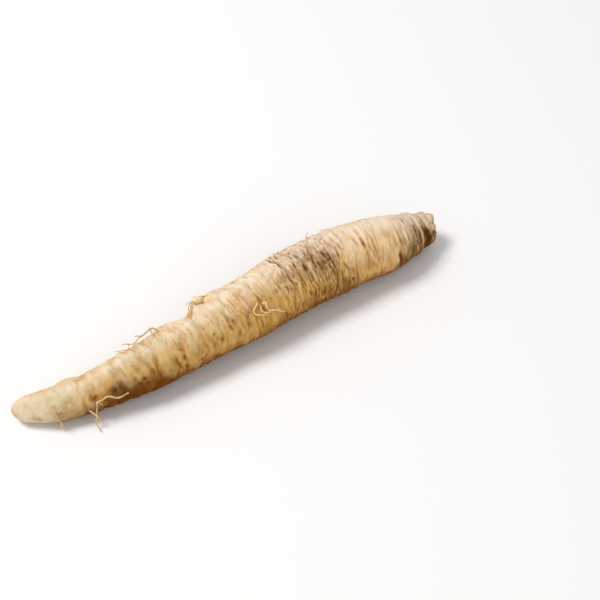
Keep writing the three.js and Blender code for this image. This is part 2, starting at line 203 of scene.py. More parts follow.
    (((-72.8, 18), (-72.8, 12)), 0.37, 0.12, 0.55, 'r'),
    (((-73.0, 0), (-72.0, -4)), 0.45, 0.10, 0.50, 'r'),
    (((-73.0, -16), (-72.8, -22)), 0.33, 0.12, 0.60, 'u'),
    (((-69.8, 51), (-69.5, 47)), 0.37, 0.05, 0.30, 'o'),
    (((-75.2, 39), (-74.5, 34)), 0.48, 0.04, 0.30, 'c'),
    (((-69.5, 20), (-69.5, 8)), 0.60, 0.06, 0.45, 'o'),
]
# Raised folds of paler skin, with a painted highlight along each: line of points, half width, height.
RIDGES = [
    (((46.9, 94), (46.8, 76), (47.0, 62)), 0.45, 0.20),
    (((71.7, 112), (71.6, 88), (71.8, 60), (72.2, 30), (72.9, -8), (73.5, -34)), 0.42, 0.26),
    (((-67.2, 10), (-66.2, 38), (-64.8, 62), (-64.2, 82)), 0.75, 0.16),
    (((-58.2, 80), (-57.7, 58), (-57.9, 42)), 0.95, 0.12),
    (((-50.9, 78), (-50.2, 52), (-49.6, 32), (-49.2, 12)), 0.85, 0.22),
    (((-46.6, 58), (-46.0, 40), (-45.8, 24)), 0.55, 0.12),
    (((49.4, 104), (49.5, 87), (49.3, 68), (49.3, 57)), 0.48, 0.26),
    (((34.6, 94), (34.8, 75), (34.9, 59)), 0.36, 0.20),
    (((22.8, 103), (22.1, 78), (21.8, 56)), 0.36, 0.22),
    (((60.7, 68), (60.6, 51), (61.0, 32)), 0.40, 0.20),
    (((49.2, 50), (50.0, 34), (51.5, 15)), 0.41, 0.18),
    (((63.6, 60), (63.9, 47), (64.4, 30)), 0.41, 0.22),
    (((62.8, 32), (63.2, 5)), 0.37, 0.18),
    (((60.0, 33), (60.2, 14), (60.5, -10)), 0.45, 0.20),
    (((68.2, 25), (74.0, -44)), 0.33, 0.15),
    (((30.0, 91), (30.0, 79), (30.5, 68)), 0.37, 0.20),
    (((36.2, 79), (36.2, 70), (36.5, 62)), 0.45, 0.25),
    (((25.8, 76), (25.5, 61), (25.5, 47), (26.2, 30)), 0.41, 0.28),
    (((16.0, 103), (15.2, 90), (14.5, 74)), 0.45, 0.26),
    (((15.5, 65), (14.2, 47)), 0.33, 0.16),
    (((-9.0, 79), (-9.2, 59), (-7.8, 46)), 0.41, 0.14),
    (((38.2, 39), (38.2, 26), (37.8, 10)), 0.33, 0.18),
    (((23.5, 87), (23.5, 79)), 0.33, 0.20),
    (((-29.2, 74), (-29.5, 66)), 0.30, 0.10),
    (((1.5, 104), (0.5, 92)), 0.37, 0.14),
    (((56.8, 63), (57.2, 48), (57.2, 30)), 0.37, 0.14),
    (((37.2, 47), (37.0, 40)), 0.33, 0.20),
]

# Stained areas: station, turn, half length, half width in degrees, amount, kind.
STAINS = [
    (29, 70, 8.5, 26, 0.52, "rust"),
    (34, 62, 5.5, 24, 0.60, "plum"),
    (32, 42, 5.0, 22, 0.47, "plum"),
    (21, 64, 6.0, 24, 0.50, "ochre"),
    (21, 66, 5.0, 16, 0.40, "rust"),
    (26, 96, 7.0, 14, 0.28, "plum"),
    (28, 50, 7.0, 20, 0.25, "olive"),
    (66.9, 4, 2.2, 32, 0.52, "umber"),
    (74.4, 30, 1.6, 26, 0.45, "umber"),
    (73.6, -4, 2.4, 26, 0.40, "umber"),
    (64.4, 14, 2.4, 20, 0.72, "plum"),
    (78.2, 70, 2.4, 38, 0.75, "pale"),
    (69.9, 56, 1.6, 22, 0.58, "plum"),
    (66.0, 28, 1.4, 13, 0.78, "plum"),
    (77.5, 114, 2.0, 13, 0.40, "ochre"),
    # (-50, -6) umber: painted shade on the lower side of the thin part, not a stain.
    (-50, -6, 7.0, 20, 0.50, "umber"),
    (27.6, 8, 1.6, 9, 0.55, "umber"),
    (30.4, 5, 2.0, 10, 0.45, "rust"),
    (-54.4, 33, 3.6, 20, 0.50, "olive"),
    (-54.4, 33, 4.6, 22, 0.50, "ochre"),
    (-53.9, 34, 1.9, 13, 0.72, "umber"),
    (-47.5, 16, 3.2, 12, 0.40, "umber"),
    (15.5, 70, 5.0, 15, 0.70, "ochre"),
    (15.5, 70, 4.0, 12, 0.24, "rust"),
    (24, 52, 4.4, 13, 0.52, "rust"),
    (15, 52, 3.6, 11, 0.32, "rust"),
    (48, 70, 3.6, 12, 0.28, "ochre"),
    # (-15, 88) ochre: partly skin tint, partly painted shade that dims the lit top.
    (-15, 88, 6.0, 13, 0.20, "ochre"),
    (40, 72, 3.0, 14, 0.25, "ochre"),
    (63, -4, 3.0, 22, 0.45, "plum"),
    (63, -8, 2.6, 16, 0.30, "umber"),
    (-51.8, 38, 1.5, 16, 0.60, "umber"),
    (-61.6, 58, 2.6, 22, 0.40, "ochre"),
    (-61.9, 14, 1.6, 12, 0.50, "blush"),
    (43.2, 50, 4.2, 24, 0.75, "pale"),
    (56.5, 40, 4.0, 26, 0.45, "pale"),
    (-15.0, 45, 3.2, 16, 0.40, "pale"),
    (38, 2, 6.0, 26, 0.35, "rust"),
    (-52.5, 27, 5.0, 17, 0.62, "olive"),
    (-44.5, 17, 5.0, 20, 0.58, "rust"),
    (-38.0, 30, 3.0, 10, 0.35, "ochre"),
    (-58.0, 10, 5.0, 14, 0.40, "olive"),
    (-33, 18, 6.0, 18, 0.35, "ochre"),
    (-61, 34, 2.6, 10, 0.35, "olive"),
    (-22, 2, 5.0, 16, 0.35, "ochre"),
    (-9, 50, 3.0, 12, 0.35, "rust"),
    (-4, 32, 4.0, 16, 0.40, "ochre"),
    (3, 46, 4.5, 14, 0.40, "olive"),
    (-79, -3, 2.6, 13, 0.45, "blush"),
    (-73, -4, 2.6, 20, 0.45, "blush"),
    (-84, 70, 4.0, 40, 0.32, "blush"),
    (33, 232, 9.0, 36, 0.40, "rust"),
    (-30, 205, 10.0, 26, 0.35, "ochre"),
    (-55, 230, 6.0, 20, 0.40, "olive"),
    (8, 158, 6.0, 24, 0.30, "rust"),
    (50, 175, 6.0, 22, 0.30, "ochre"),
]

# The broken side root and the rootlets: course of the axis, first radius, last radius.
SIDE_ROOT = ([(-10.73, 1.47, 18.52), (-11.57, 2.92, 17.83), (-12.76, 4.47, 17.34), (-14.40, 5.06, 17.70), (-15.35, 6.18, 17.07)], 1.6, 1.55)
ROOTLETS = [
    ([(-31.89, -1.45, 16.99), (-32.02, -0.87, 16.48), (-32.86, 0.38, 17.32), (-33.56, 1.21, 17.7), (-34.69, 1.58, 17.94), (-36.06, 1.16, 17.9), (-37.04, 1.27, 17.02), (-38.42, 0.79, 17.11), (-39.74, 0.42, 17.15), (-41.02, -0.24, 17.12), (-42.02, -0.2, 16.4), (-43.1, -0.05, 16.28), (-43.96, 0.46, 16.54), (-45.06, 0.45, 17), (-45.9, 0.86, 16.82)], 0.36, 0.21),  # edge
    ([(-38.01, 0.81, 17.31), (-39.07, 1.01, 17.12), (-39.98, 0.98, 17.79), (-41.05, 0.75, 18.45)], 0.22, 0.13),  # edge_b
    ([(-34.96, 1.47, 17.74), (-35.02, 0.25, 17.42), (-35.2, -1.13, 16.79), (-35.39, -2.26, 16.72)], 0.24, 0.27),  # edge_c
    ([(-43.92, 0.34, 16.47), (-44.21, -0.66, 16.19), (-45.16, -1.55, 16.29), (-46.63, -1.04, 16.13), (-48.2, -0.37, 15.98), (-49.21, 0.35, 15.65)], 0.19, 0.11),  # edge_d
    ([(-50.73, -12.53, 8.58), (-51.87, -13.52, 9.53), (-53.12, -13.8, 9.72), (-54.27, -13.84, 9.58), (-55.61, -13.55, 9.65), (-56.82, -13.13, 10.41), (-57.99, -12.6, 10.97), (-59.16, -12.28, 10.73), (-60.46, -12.11, 9.98), (-61.54, -11.76, 9.54), (-62.22, -11.64, 9.19), (-62.48, -12.28, 8.6), (-62.83, -12.72, 7.4), (-63.4, -13.11, 6), (-63.56, -13.5, 4.9), (-64.19, -13.86, 3.5), (-64.5, -14.5, 2.2), (-64.36, -15.38, 1.2), (-64.11, -16.8, 0.75)], 0.33, 0.19),  # fork1
    ([(-62.28, -11.42, 9.1), (-61.95, -11.93, 9.23), (-61.38, -12.19, 8.81), (-60.49, -12.41, 7.76)], 0.30, 0.16),  # fork1b
    ([(-64.9, -10.13, 5.33), (-64.67, -11.77, 5.9), (-64.14, -12.51, 5.5), (-63.58, -13.54, 4.9), (-62.96, -14.32, 3.8), (-62.25, -15.47, 2.4)], 0.30, 0.18),  # fork2
    ([(-75.95, -6.29, 8.75), (-76.24, -7.52, 9.06), (-76.08, -8.35, 8.68), (-75.98, -8.99, 7.79), (-75.7, -9.3, 6.5), (-75.1, -9.2, 4.7), (-74.7, -9.1, 3.3), (-74.6, -9.1, 2.1), (-75.04, -9.57, 0.9)], 0.33, 0.19),  # near_tip
    ([(-75.4, -7.11, 8.59), (-75.82, -7.98, 8.86), (-76.15, -8.34, 8.66)], 0.22, 0.21),  # near_tip_b
    ([(-74.75, -9.12, 3.5), (-75.3, -9.5, 2.7), (-75.6, -9.7, 2.1)], 0.19, 0.11),  # near_tip_c
    ([(-16.18, 4.14, 18.45), (-17.09, 4.74, 18.49), (-18.02, 5.16, 18.31), (-18.9, 5, 18.22), (-19.49, 4.81, 17.8)], 0.19, 0.10),  # strand_1
    ([(-16.52, 3.98, 18.17), (-17.74, 3.76, 18.13), (-18.31, 3.28, 17.15), (-19.19, 1.48, 17.92), (-20.41, -0.18, 18.66), (-21.51, -1.28, 18.91), (-22.04, -1.47, 18.37)], 0.23, 0.18),  # strand_2
    ([(-16.56, 4.18, 18.31), (-17.56, 4.92, 17.64), (-18.64, 4.06, 17.62), (-19.21, 3.08, 17.02), (-20.16, 1.12, 17.99), (-21.29, 0.18, 17.78), (-22.5, -1.3, 18.36)], 0.20, 0.16),  # strand_3
    ([(-16.98, 3.67, 18.41), (-17.92, 3.01, 17.9), (-18.46, 1.87, 17.74), (-19.89, 0.04, 18.78), (-20.76, -1.98, 19.38), (-21.5, -2.74, 18.98)], 0.19, 0.14),  # strand_4
    ([(4.14, -8.41, 18.59), (4.66, -9.28, 19.24), (4.35, -10.29, 18.98), (4.47, -11.04, 18.32), (4.94, -11.52, 17.36), (6.23, -11.72, 16.82), (7.77, -11.83, 16.2), (9.26, -12.01, 15.04), (10.83, -12.08, 13.67)], 0.32, 0.18),  # curl1
    ([(4.04, -10.59, 16.14), (3, -11.73, 16.48), (1.52, -11.89, 17.18), (0.06, -11.68, 17.87), (-0.75, -11.11, 18.46), (-0.77, -10.46, 19.1), (0.03, -9.77, 19.54), (1.09, -9.18, 19.72), (2.2, -8.06, 19.57)], 0.29, 0.19),  # curl2
    ([(5.84, -10.95, 15.61), (4.47, -11.61, 16.57), (2.93, -11.53, 17.27), (2.17, -11, 18.04), (2.18, -10.17, 18.59), (2.83, -9.15, 18.49)], 0.22, 0.16),  # curl3
    ([(32.64, 9.71, 19.73), (32.52, 9.58, 21.25), (33, 10.04, 21.83), (33.73, 10.36, 22.41)], 0.19, 0.10),  # spike
    ([(-56.14, 1.23, 4.67), (-57.91, 2.27, 3.81), (-60.8, 2.48, 2.89), (-65.17, 2.23, 2.53), (-68.99, 2.8, 1.65)], 0.33, 0.18),  # back_a
    ([(-22.68, 4.49, 8.63), (-23.56, 6.06, 8.18), (-25.37, 7.26, 7.45), (-28.2, 7.32, 6.81)], 0.45, 0.29),  # back_b
    ([(10.75, 8.47, 5.43), (12.66, 9.66, 4.41), (15.82, 10.1, 3.98), (18.9, 10.12, 3.58), (22.37, 10.18, 2.56)], 0.30, 0.18),  # back_c
    ([(44.18, 12.59, 13.72), (44.83, 13.9, 13.98), (46.19, 14.8, 13.66)], 0.26, 0.14),  # back_d
]


def along(knots, x):
    u = (np.asarray(x, float) - KNOT_X) / KNOT_STEP
    i = np.clip(np.floor(u).astype(int), 0, len(knots) - 2)
    t = u - i
    k = lambda j: knots[np.clip(j, 0, len(knots) - 1)]
    a, b, c, d = k(i - 1), k(i), k(i + 1), k(i + 2)
    return b + 0.5 * t * (c - a + t * (2 * a - 5 * b + 4 * c - d + t * (3 * (b - c) + d - a)))


def smooth(a, b, v):
    t = np.clip((v - a) / (b - a), 0, 1)
    return t * t * (3 - 2 * t)


def ends(x):
    a = np.clip((x - X_TIP) / CAP_TIP, 0, 1)
    b = np.clip((X_CROWN - x) / CAP_CROWN, 0, 1)
    return np.sqrt(np.maximum(0, 1 - (1 - a) ** 2)) * np.sqrt(np.maximum(0, 1 - (1 - b) ** 2))


def free_skin(f):
    return smooth(-0.96, -0.45, np.sin(f))


def lumps(x, f):
    return free_skin(f) * along(RADIUS, x) / 11.0 * (
        0.20 * np.sin(x / 5.3 + 0.8 + 1.1 * np.cos(f))
        + 0.16 * np.sin(x / 3.1 + 2.0 + 0.9 * np.sin(f + 0.6))
        + 0.20 * np.cos(2 * f + x / 21.0)
        + 0.14 * np.cos(3 * f - x / 13.0 + 1.0))


def turn_gap(f, degrees):
    """Angle from a turn, in degrees, -180 to 180."""
    return (np.degrees(f) - degrees + 180) % 360 - 180


def macro_radius(x, f):
    r = along(RADIUS, x) + lumps(x, f)
    for c, h, w in NECK_RINGS:
        r = r + h * np.exp(-(((x - c) / w) ** 2))
    for c, turn, h, w, spread in SWELLINGS:
        r = r + h * np.exp(-(((x - c) / w) ** 2) - (turn_gap(f, turn) / spread) ** 2)
    return r


def axis_point(x):
    x = np.asarray(x, float)
    return np.stack([x, along(COURSE_Y, x), along(RADIUS, x) + along(LIFT, x) - SINK], -1)


def axis_frame(x):
    t = axis_point(np.asarray(x, float) + 0.05) - axis_point(np.asarray(x, float) - 0.05)
    t /= np.linalg.norm(t, axis=-1, keepdims=True)
    front = np.stack([t[..., 1], -t[..., 0], 0 * t[..., 0]], -1)
    front /= np.linalg.norm(front, axis=-1, keepdims=True)
    up = np.cross(front, t)
    up *= np.sign(up[..., 2:3])
    return t, front, up


def gradient_noise(p, seed):
    """Smooth noise of about -1 to 1 at points p, with one bump a unit."""
    r = np.random.default_rng(seed)
    perm = r.permutation(256)
    g = r.normal(size=(256, 3))
    g /= np.linalg.norm(g, axis=1, keepdims=True)
    i = np.floor(p).astype(np.int64)
    f = p - i
    u = f * f * f * (f * (f * 6 - 15) + 10)
    i &= 255
    total = np.zeros(p.shape[:-1])
    for a in (0, 1):
        for b in (0, 1):
            for c in (0, 1):
                h = perm[(perm[(perm[(i[..., 0] + a) & 255] + i[..., 1] + b) & 255] + i[..., 2] + c) & 255]
                d = (g[h] * (f - np.array([a, b, c]))).sum(-1)
                w = (np.where(a, u[..., 0], 1 - u[..., 0]) * np.where(b, u[..., 1], 1 - u[..., 1])
                     * np.where(c, u[..., 2], 1 - u[..., 2]))
                total += w * d
    return total * 1.6


# --- the skin's grid -----------------------------------------------------------------------
STATIONS, SECTORS = 735, 116


def stations():
    """Stations evenly spread along the outline from pole to pole, the poles left out."""
    turn = np.linspace(0, np.pi / 2, 600)
    x = np.concatenate([
        X_TIP + CAP_TIP * (1 - np.cos(turn)),
        np.linspace(X_TIP + CAP_TIP, X_CROWN - CAP_CROWN, 6000)[1:-1],
        X_CROWN - CAP_CROWN * (1 - np.cos(turn[::-1]))])
    r = along(RADIUS, x) * ends(x)
    fine = np.interp(x, [-87, -60, -20, 8, 14, 48, 56, 64, 83], [0.75, 0.8, 0.9, 1.0, 1.3, 1.3, 1.05, 1.2, 1.25])
    s = np.concatenate([[0], np.cumsum(np.hypot(np.diff(x), np.diff(r)) * 0.5 * (fine[1:] + fine[:-1]))])
    return np.interp(np.linspace(0, s[-1], STATIONS + 2)[1:-1], s, x)


X = stations()[:, None] + np.zeros((1, SECTORS))
F = np.zeros((STATIONS, 1)) + (np.arange(SECTORS) * 2 * np.pi / SECTORS)[None, :]
F = F + (np.arange(STATIONS) % 2)[:, None] * 0.0
R0 = macro_radius(X, F) * (1 + smooth(76.5, 80.5, X) * (0.05 * np.cos(3 * F + 0.7) + 0.04 * np.cos(5 * F + 2.1)))
RC = along(RADIUS, X)
# Straightened coordinates: distance along the root, and the place across it.
GRAIN = np.stack([X, RC * ends(X) * np.cos(F), RC * ends(X) * np.sin(F)], -1)
# The rings bulge towards the crown on the side between front and top.
PHASE = X - 0.10 * RC * (np.cos(F - math.radians(52)) - 0.5)

relief = np.zeros_like(X)
tone = {k: np.zeros_like(X) for k in ("umber", "olive", "ochre", "rust", "plum", "pale", "blush", "tan_and_shade", "loam_and_shade", "hollow_soil_and_shade", "crest_wear_and_highlight", "dim_shade", "rose", "warm_bounce")}

# How wrinkled the skin is along the root: crease depth, distance between creases, half width,
# how brown they are, and the depth of the fine wrinkles.
ZONE = [-87, -78, -66, -50, -34, -20, -8, 6, 12, 16, 24, 36, 40, 45, 49, 60, 63, 70, 76, 83]
ring_depth = lambda x: np.interp(x, ZONE, [.01, .03, .05, .07, .08, .09, .10, .12, .18, .26, .30, .30, .24, .19, .17, .15, .16, .18, .22, .16])
ring_pitch = lambda x: np.interp(x, ZONE, [3.2, 2.9, 2.6, 2.4, 2.2, 2.1, 1.9, 1.7, 1.5, 1.3, 1.25, 1.25, 1.45, 1.8, 2.0, 2.2, 1.5, 1.4, 1.3, 1.2])
ring_half = lambda x: np.interp(x, ZONE, [.60, .60, .52, .46, .42, .38, .34, .31, .29, .28, .28, .28, .29, .32, .34, .36, .27, .25, .24, .22])
ring_soil = lambda x: np.interp(x, ZONE, [0, .05, .13, .20, .22, .24, .30, .38, .55, .80, .92, .92, .50, .24, .15, .11, .45, .70, .78, .7])
ring_many = lambda x: np.interp(x, ZONE, [.1, .2, .25, .28, .32, .36, .42, .55, .8, .9, .95, .95, .75, .5, .42, .36, .8, .9, .9, .8])
ring_reach = lambda x: np.interp(x, ZONE, [8, 9, 10, 12, 13, 14, 16, 18, 18, 19, 19, 19, 24, 28, 32, 34, 30, 30, 34, 34])
fine_depth = lambda x: np.interp(x, ZONE, [.01, .02, .03, .035, .04, .045, .055, .07, .09, .11, .12, .12, .085, .05, .038, .032, .06, .07, .08, .07])

# Broad unevenness of the skin and soft knobs between the creases.
relief += 0.10 * gradient_noise(GRAIN / 7.0, 1) + 0.05 * gradient_noise(GRAIN / 3.1, 2)
swell = np.interp(X, [-87, -76, -60, -30, -10, 10, 40, 60, 83], [.03, .20, .52, .56, .42, .20, .12, .12, .05])
relief += swell * gradient_noise(np.stack([PHASE / 2.8, GRAIN[..., 1] / 8.0, GRAIN[..., 2] / 8.0], -1), 3)
pucker = np.interp(X, [-87, -76, -60, -30, 0, 14, 38, 46, 83], [.01, .08, .24, .27, .24, .22, .22, .10, .07])
relief += pucker * gradient_noise(np.stack([PHASE / 1.7, GRAIN[..., 1] / 3.2, GRAIN[..., 2] / 3.2], -1), 4)


# The skin is raised under the broken side root, which lies close over it.
relief += 1.0 * np.exp(-(((X + 15.4) / 1.7) ** 2) - (turn_gap(F, 137) / 15.0) ** 2)


def groove(u, depth, half):
    """A crease's section: a rounded V with raised lips."""
    a = np.abs(u) / half
    return depth * (-np.exp(-(a ** 1.6)) + 0.42 * np.exp(-(((a - 2.1) / 1.0) ** 2)))


def wave(f, orders, size, r):
    out = np.zeros_like(f)
    for m in range(1, orders + 1):
        out += r.normal() * m ** -0.6 * np.cos(m * f + r.uniform(0, 2 * np.pi))
    return size * out / math.sqrt(sum(m ** -1.2 for m in range(1, orders + 1)))


ring_rng = np.random.default_rng(88)
# Painted highlight on the raised lips beside each crease.
lip_highlight = np.interp(X, [-87, 8, 14, 38, 46, 62, 66, 83], [.24, .26, .46, .46, .26, .26, .42, .42])
patchy = np.clip(0.75 + 1.1 * gradient_noise(np.stack([X / 1.9, GRAIN[..., 1] / 1.7, GRAIN[..., 2] / 1.7], -1), 33), 0.1, 1.3)


def arc(centre, turn, reach, slant, half, depth, soil, tint):
    """A crease running part of the way round the root, dying out at both ends."""
    rows = np.abs(X[:, 0] - centre) < 3.2
    g = turn_gap(F[rows], turn) / reach
    gate = np.maximum(0, 1 - g * g) ** 0.7
    u = PHASE[rows] - centre - slant * g - 0.45 * bend[rows]
    wide = half * (0.55 + 0.45 * gate)
    relief[rows] += groove(u, depth, wide) * gate * (0.6 + 0.4 * patchy[rows])
    dark = gate * gate * soil * patchy[rows]
    tone[tint][rows] = np.maximum(tone[tint][rows], np.exp(-((u / (wide * 1.1)) ** 2)) * dark)
    tone["ochre"][rows] = np.maximum(tone["ochre"][rows], np.exp(-((u / (wide * 2.6)) ** 2)) * dark * 0.7)
    # Painted highlight on the crease's lips.
    tone["pale"][rows] = np.maximum(tone["pale"][rows], np.exp(-(((np.abs(u) / wide - 2.5) / 1.1) ** 2)) * gate * lip_highlight[rows])


def clean_top(x, turn):
    """The top of the root is rubbed clean, but for the wrinkled zone and the neck."""
    top = 1 - smooth(22, 80, np.abs((np.asarray(turn, float) - 103 + 180) % 360 - 180))
    return 1 - top * np.interp(x, [-87, 6, 18, 37, 44, 60, 66, 83], [.8, .7, .35, .35, .75, .75, .45, .3])


def soiling(x, turn):
    """How much soil has stayed on this part of the skin, 0.35 to 1.2."""
    f = math.radians(turn)
    r = float(along(RADIUS, x))
    p = np.array([[x, r * math.cos(f), r * math.sin(f)]])
    return float(0.78 + 0.6 * np.clip(gradient_noise(p / 6.5, 61)[0], -0.7, 0.7))


def still(x, turn):
    """Low in the few places where the skin is plain and pale: no crease of the crowd falls there."""
    return 1 - max(much * math.exp(-(((x - x0) / wide) ** 2) - (((turn - f0 + 180) % 360 - 180) / round_f) ** 2)
                   for x0, f0, wide, round_f, much in ((43.6, 48, 2.8, 26, 0.8), (17.0, 98, 2.2, 20, 0.8), (-24.5, 28, 2.4, 15, 0.8),
                                                       (-9.0, 20, 1.6, 12, 0.8), (56, 50, 3.0, 24, 0.8), (16, 20, 8.0, 20, 0.6)))


NEAR = X + 3.6 * np.clip(gradient_noise(GRAIN / 5.5, 37), -1, 1)

# Creases run round the root in broken arcs that pass one another at their ends.
bend = (gradient_noise(np.stack([X / 4.0, GRAIN[..., 1] / 3.6, GRAIN[..., 2] / 3.6], -1), 12)
        + 0.5 * gradient_noise(np.stack([X / 1.6, GRAIN[..., 1] / 1.5, GRAIN[..., 2] / 1.5], -1), 13))
c = X_TIP + 5.0
while c < X_CROWN - 1.5:
    pitch = ring_pitch(c)
    turn = ring_rng.uniform(0, 360)
    end = turn + 360
    while turn < end:
        reach = ring_reach(c) * ring_rng.uniform(0.35, 1.6)
        near = c + np.clip(ring_rng.normal() * 2.4, -4.5, 4.5)  # the zones run into one another
        if ring_rng.uniform() < ring_many(near):
            strong = ring_rng.uniform(0.0, 1.0) ** 1.5
            dirt = ring_soil(near) * (0.15 + 1.05 * strong) * soiling(c, turn) * clean_top(near, turn)
            dirt *= still(c, turn)
            arc(c + ring_rng.normal() * 0.34 * pitch, turn, reach, ring_rng.normal() * (0.35 + 0.018 * reach),
                ring_half(c) * ring_rng.uniform(0.7, 1.3) * (0.8 + 0.5 * strong), ring_depth(near) * (0.35 + 1.2 * strong) * still(c, turn),
                dirt, ring_rng.choice(["umber", "umber", "rust"] if near > 8 else ["umber", "ochre", "rust"]))
        turn += reach * ring_rng.uniform(0.9, 1.7)
    c += pitch * ring_rng.uniform(0.75, 1.25)


def mark(points, half, depth, amount, kind, ridge=False):
    """A crease, pit or stain along a line of (station, turn) points."""
    px = np.array([p[0] for p in points])
    pf = np.array([p[1] for p in points])
    rows = (X[:, 0] > px.min() - 4 * half - 0.8) & (X[:, 0] < px.max() + 4 * half + 0.8)
    if not rows.any():
        return
    x, f, r = X[rows], F[rows], RC[rows]
    mid = 0.5 * (pf.min() + pf.max())
    v = np.radians(turn_gap(f, mid)) * r
    best = np.full(x.shape, 1e9)
    taper = np.ones(x.shape)
    steps = np.linspace(0, 1, max(2, int(6 * len(px))))
    where = np.linspace(0, 1, len(px))
    qx, qf = np.interp(steps, where, px), np.interp(steps, where, pf)
    for k in range(len(steps) - 1):
        ax, bx = qx[k], qx[k + 1]
        av, bv = np.radians(qf[k] - mid) * r, np.radians(qf[k + 1] - mid) * r
        dx, dv = bx - ax, bv - av
        t = np.clip(((x - ax) * dx + (v - av) * dv) / (dx * dx + dv * dv + 1e-9), 0, 1)
        d = np.hypot(x - ax - t * dx, v - av - t * dv)
        at = steps[k] + t * (steps[k + 1] - steps[k])
        near = d < best
        best = np.where(near, d, best)
        taper = np.where(near, np.clip(4.2 * at * (1 - at) + 0.25, 0, 1), taper)
    wide = half * (0.75 + 0.35 * taper)
    # A ridge: raised and paler, with a painted highlight along it, and less brown on it.
    if ridge:
        relief[rows] += depth * taper * np.exp(-((best / wide) ** 2))
        soft = 0.4 if px[0] < 10 else 1.0
        tone["pale"][rows] = np.maximum(tone["pale"][rows], soft * taper * np.exp(-((best / (wide * 1.1)) ** 2)))
        tone["umber"][rows] *= 1 - 0.8 * np.exp(-((best / wide) ** 2))
        tone["ochre"][rows] *= 1 - 0.6 * np.exp(-((best / wide) ** 2))
        return
    relief[rows] += groove(best, depth, wide) * taper
    core = taper * np.exp(-((best / (wide * 1.05)) ** 2))
    tone[kind][rows] = np.maximum(tone[kind][rows], amount * core)
    halo = "ochre" if kind in ("umber", "olive", "rust") else kind
    tone[halo][rows] = np.maximum(tone[halo][rows], 0.6 * amount * taper * np.exp(-((best / (wide * 2.8)) ** 2)))


KIND = {"u": "umber", "o": "olive", "c": "ochre", "p": "plum", "r": "rust"}

# Short creases between the rings, all round the root.
short_rng = np.random.default_rng(311)
for _ in range(420):
    x = short_rng.uniform(X_TIP + 6, X_CROWN - 6)
    if short_rng.uniform(0, 0.28) > ring_depth(x) + 0.03:
        continue
    turn = short_rng.uniform(0, 360)
    if 30 < turn < 110 and 12 < x < 50 and short_rng.uniform() < 0.5:
        continue
    reach = short_rng.uniform(5, 20)
    lean = short_rng.normal() * 0.35
    mark([(x - lean, turn - reach), (x + short_rng.normal() * 0.12, turn), (x + lean, turn + reach)],
         short_rng.uniform(0.18, 0.30), ring_depth(x) * short_rng.uniform(0.5, 1.2),
         ring_soil(x) * short_rng.uniform(0.4, 1.2), "umber")

# Breathing pores: small cross-wise pits with a brown floor, all round.
pore_rng = np.random.default_rng(97)
for _ in range(150):
    x = pore_rng.uniform(X_TIP + 5, X_CROWN - 8)
    turn = pore_rng.uniform(0, 360)
    reach = math.degrees(pore_rng.uniform(0.15, 0.55) / along(RADIUS, x))
    mark([(x, turn - reach), (x, turn + reach)], pore_rng.uniform(0.16, 0.26), pore_rng.uniform(0.05, 0.12),
         pore_rng.uniform(0.15, 0.55), pore_rng.choice(["umber", "ochre", "rust"]))

# The larger creases, pits and ridges that tell this root from another.
for points, half, depth, amount, kind in MARKS:
    thin_end = points[0][0] < 10
    mark(points, half * (1.25 if thin_end else 1.0), depth, amount * (0.7 if thin_end else 1.0), KIND[kind])
for points, half, height in RIDGES:
    mark(points, half, height, 0, "pale", ridge=True)

# A net of wrinkles drawn out round the root: valleys where a smooth noise crosses zero.
warp = 0.55 * gradient_noise(GRAIN / 2.3, 14)
for size, out, seed, amount in ((1.9, 3.9, 5, 1.3), (1.05, 2.3, 15, 1.0), (0.7, 1.5, 16, 0.5)):
    n = gradient_noise(np.stack([(PHASE + warp) / size, GRAIN[..., 1] / out, GRAIN[..., 2] / out], -1), seed)
    valley = np.exp(-((n / 0.13) ** 2))
    relief += fine_depth(NEAR) * amount * (0.25 - valley + 0.5 * np.clip(np.abs(n), 0, 0.6))
    strength = np.clip(0.45 + 0.8 * gradient_noise(GRAIN / 4.2, seed + 20), 0, 1)
    strength = strength * clean_top(X, np.degrees(F)) * np.clip(0.55 + 1.0 * gradient_noise(GRAIN / 1.3, seed + 50), 0, 1)
    tone["ochre"] = np.maximum(tone["ochre"], valley * strength * (0.05 + 0.95 * ring_soil(NEAR)) * min(1.0, amount))
    tone["umber"] = np.maximum(tone["umber"], valley ** 2 * strength ** 2 * (ring_soil(NEAR) - 0.3) * 0.7 * min(1.0, amount))
# Where the skin is most wrinkled, folds that run lengthwise break the rings into knots.
knots = np.interp(NEAR, [-30, -14, 0, 8, 14, 20, 35, 40, 47], [0, .25, .32, .4, .7, 1, 1, .45, 0])
n = gradient_noise(np.stack([PHASE / 1.7, GRAIN[..., 1] / 1.9, GRAIN[..., 2] / 1.9], -1) + 0.3 * gradient_noise(GRAIN / 1.2, 94)[..., None], 95)
valley = np.exp(-((n / 0.17) ** 2))
relief += knots * (0.08 - 0.24 * valley)
strength = np.clip(0.4 + 1.2 * gradient_noise(GRAIN / 2.8, 96), 0, 1) * knots * clean_top(X, np.degrees(F))
tone["umber"] = np.maximum(tone["umber"], 0.9 * valley * strength ** 2)
tone["ochre"] = np.maximum(tone["ochre"], 0.8 * valley * strength)
relief += 0.5 * fine_depth(NEAR) * gradient_noise(np.stack([PHASE / 0.6, GRAIN[..., 1] / 1.8, GRAIN[..., 2] / 1.8], -1), 6)



def spread(v, along_x, round_f):
    """v averaged over a patch of the grid, so many rows and columns wide."""
    k = np.hanning(2 * along_x + 3)[1:-1]
    k /= k.sum()
    v = np.apply_along_axis(lambda c: np.convolve(np.pad(c, along_x, mode="edge"), k, "valid"), 0, v)
    k = np.hanning(2 * round_f + 3)[1:-1]
    k /= k.sum()
    return np.apply_along_axis(lambda c: np.convolve(np.pad(c, round_f, mode="wrap"), k, "valid"), 1, v)


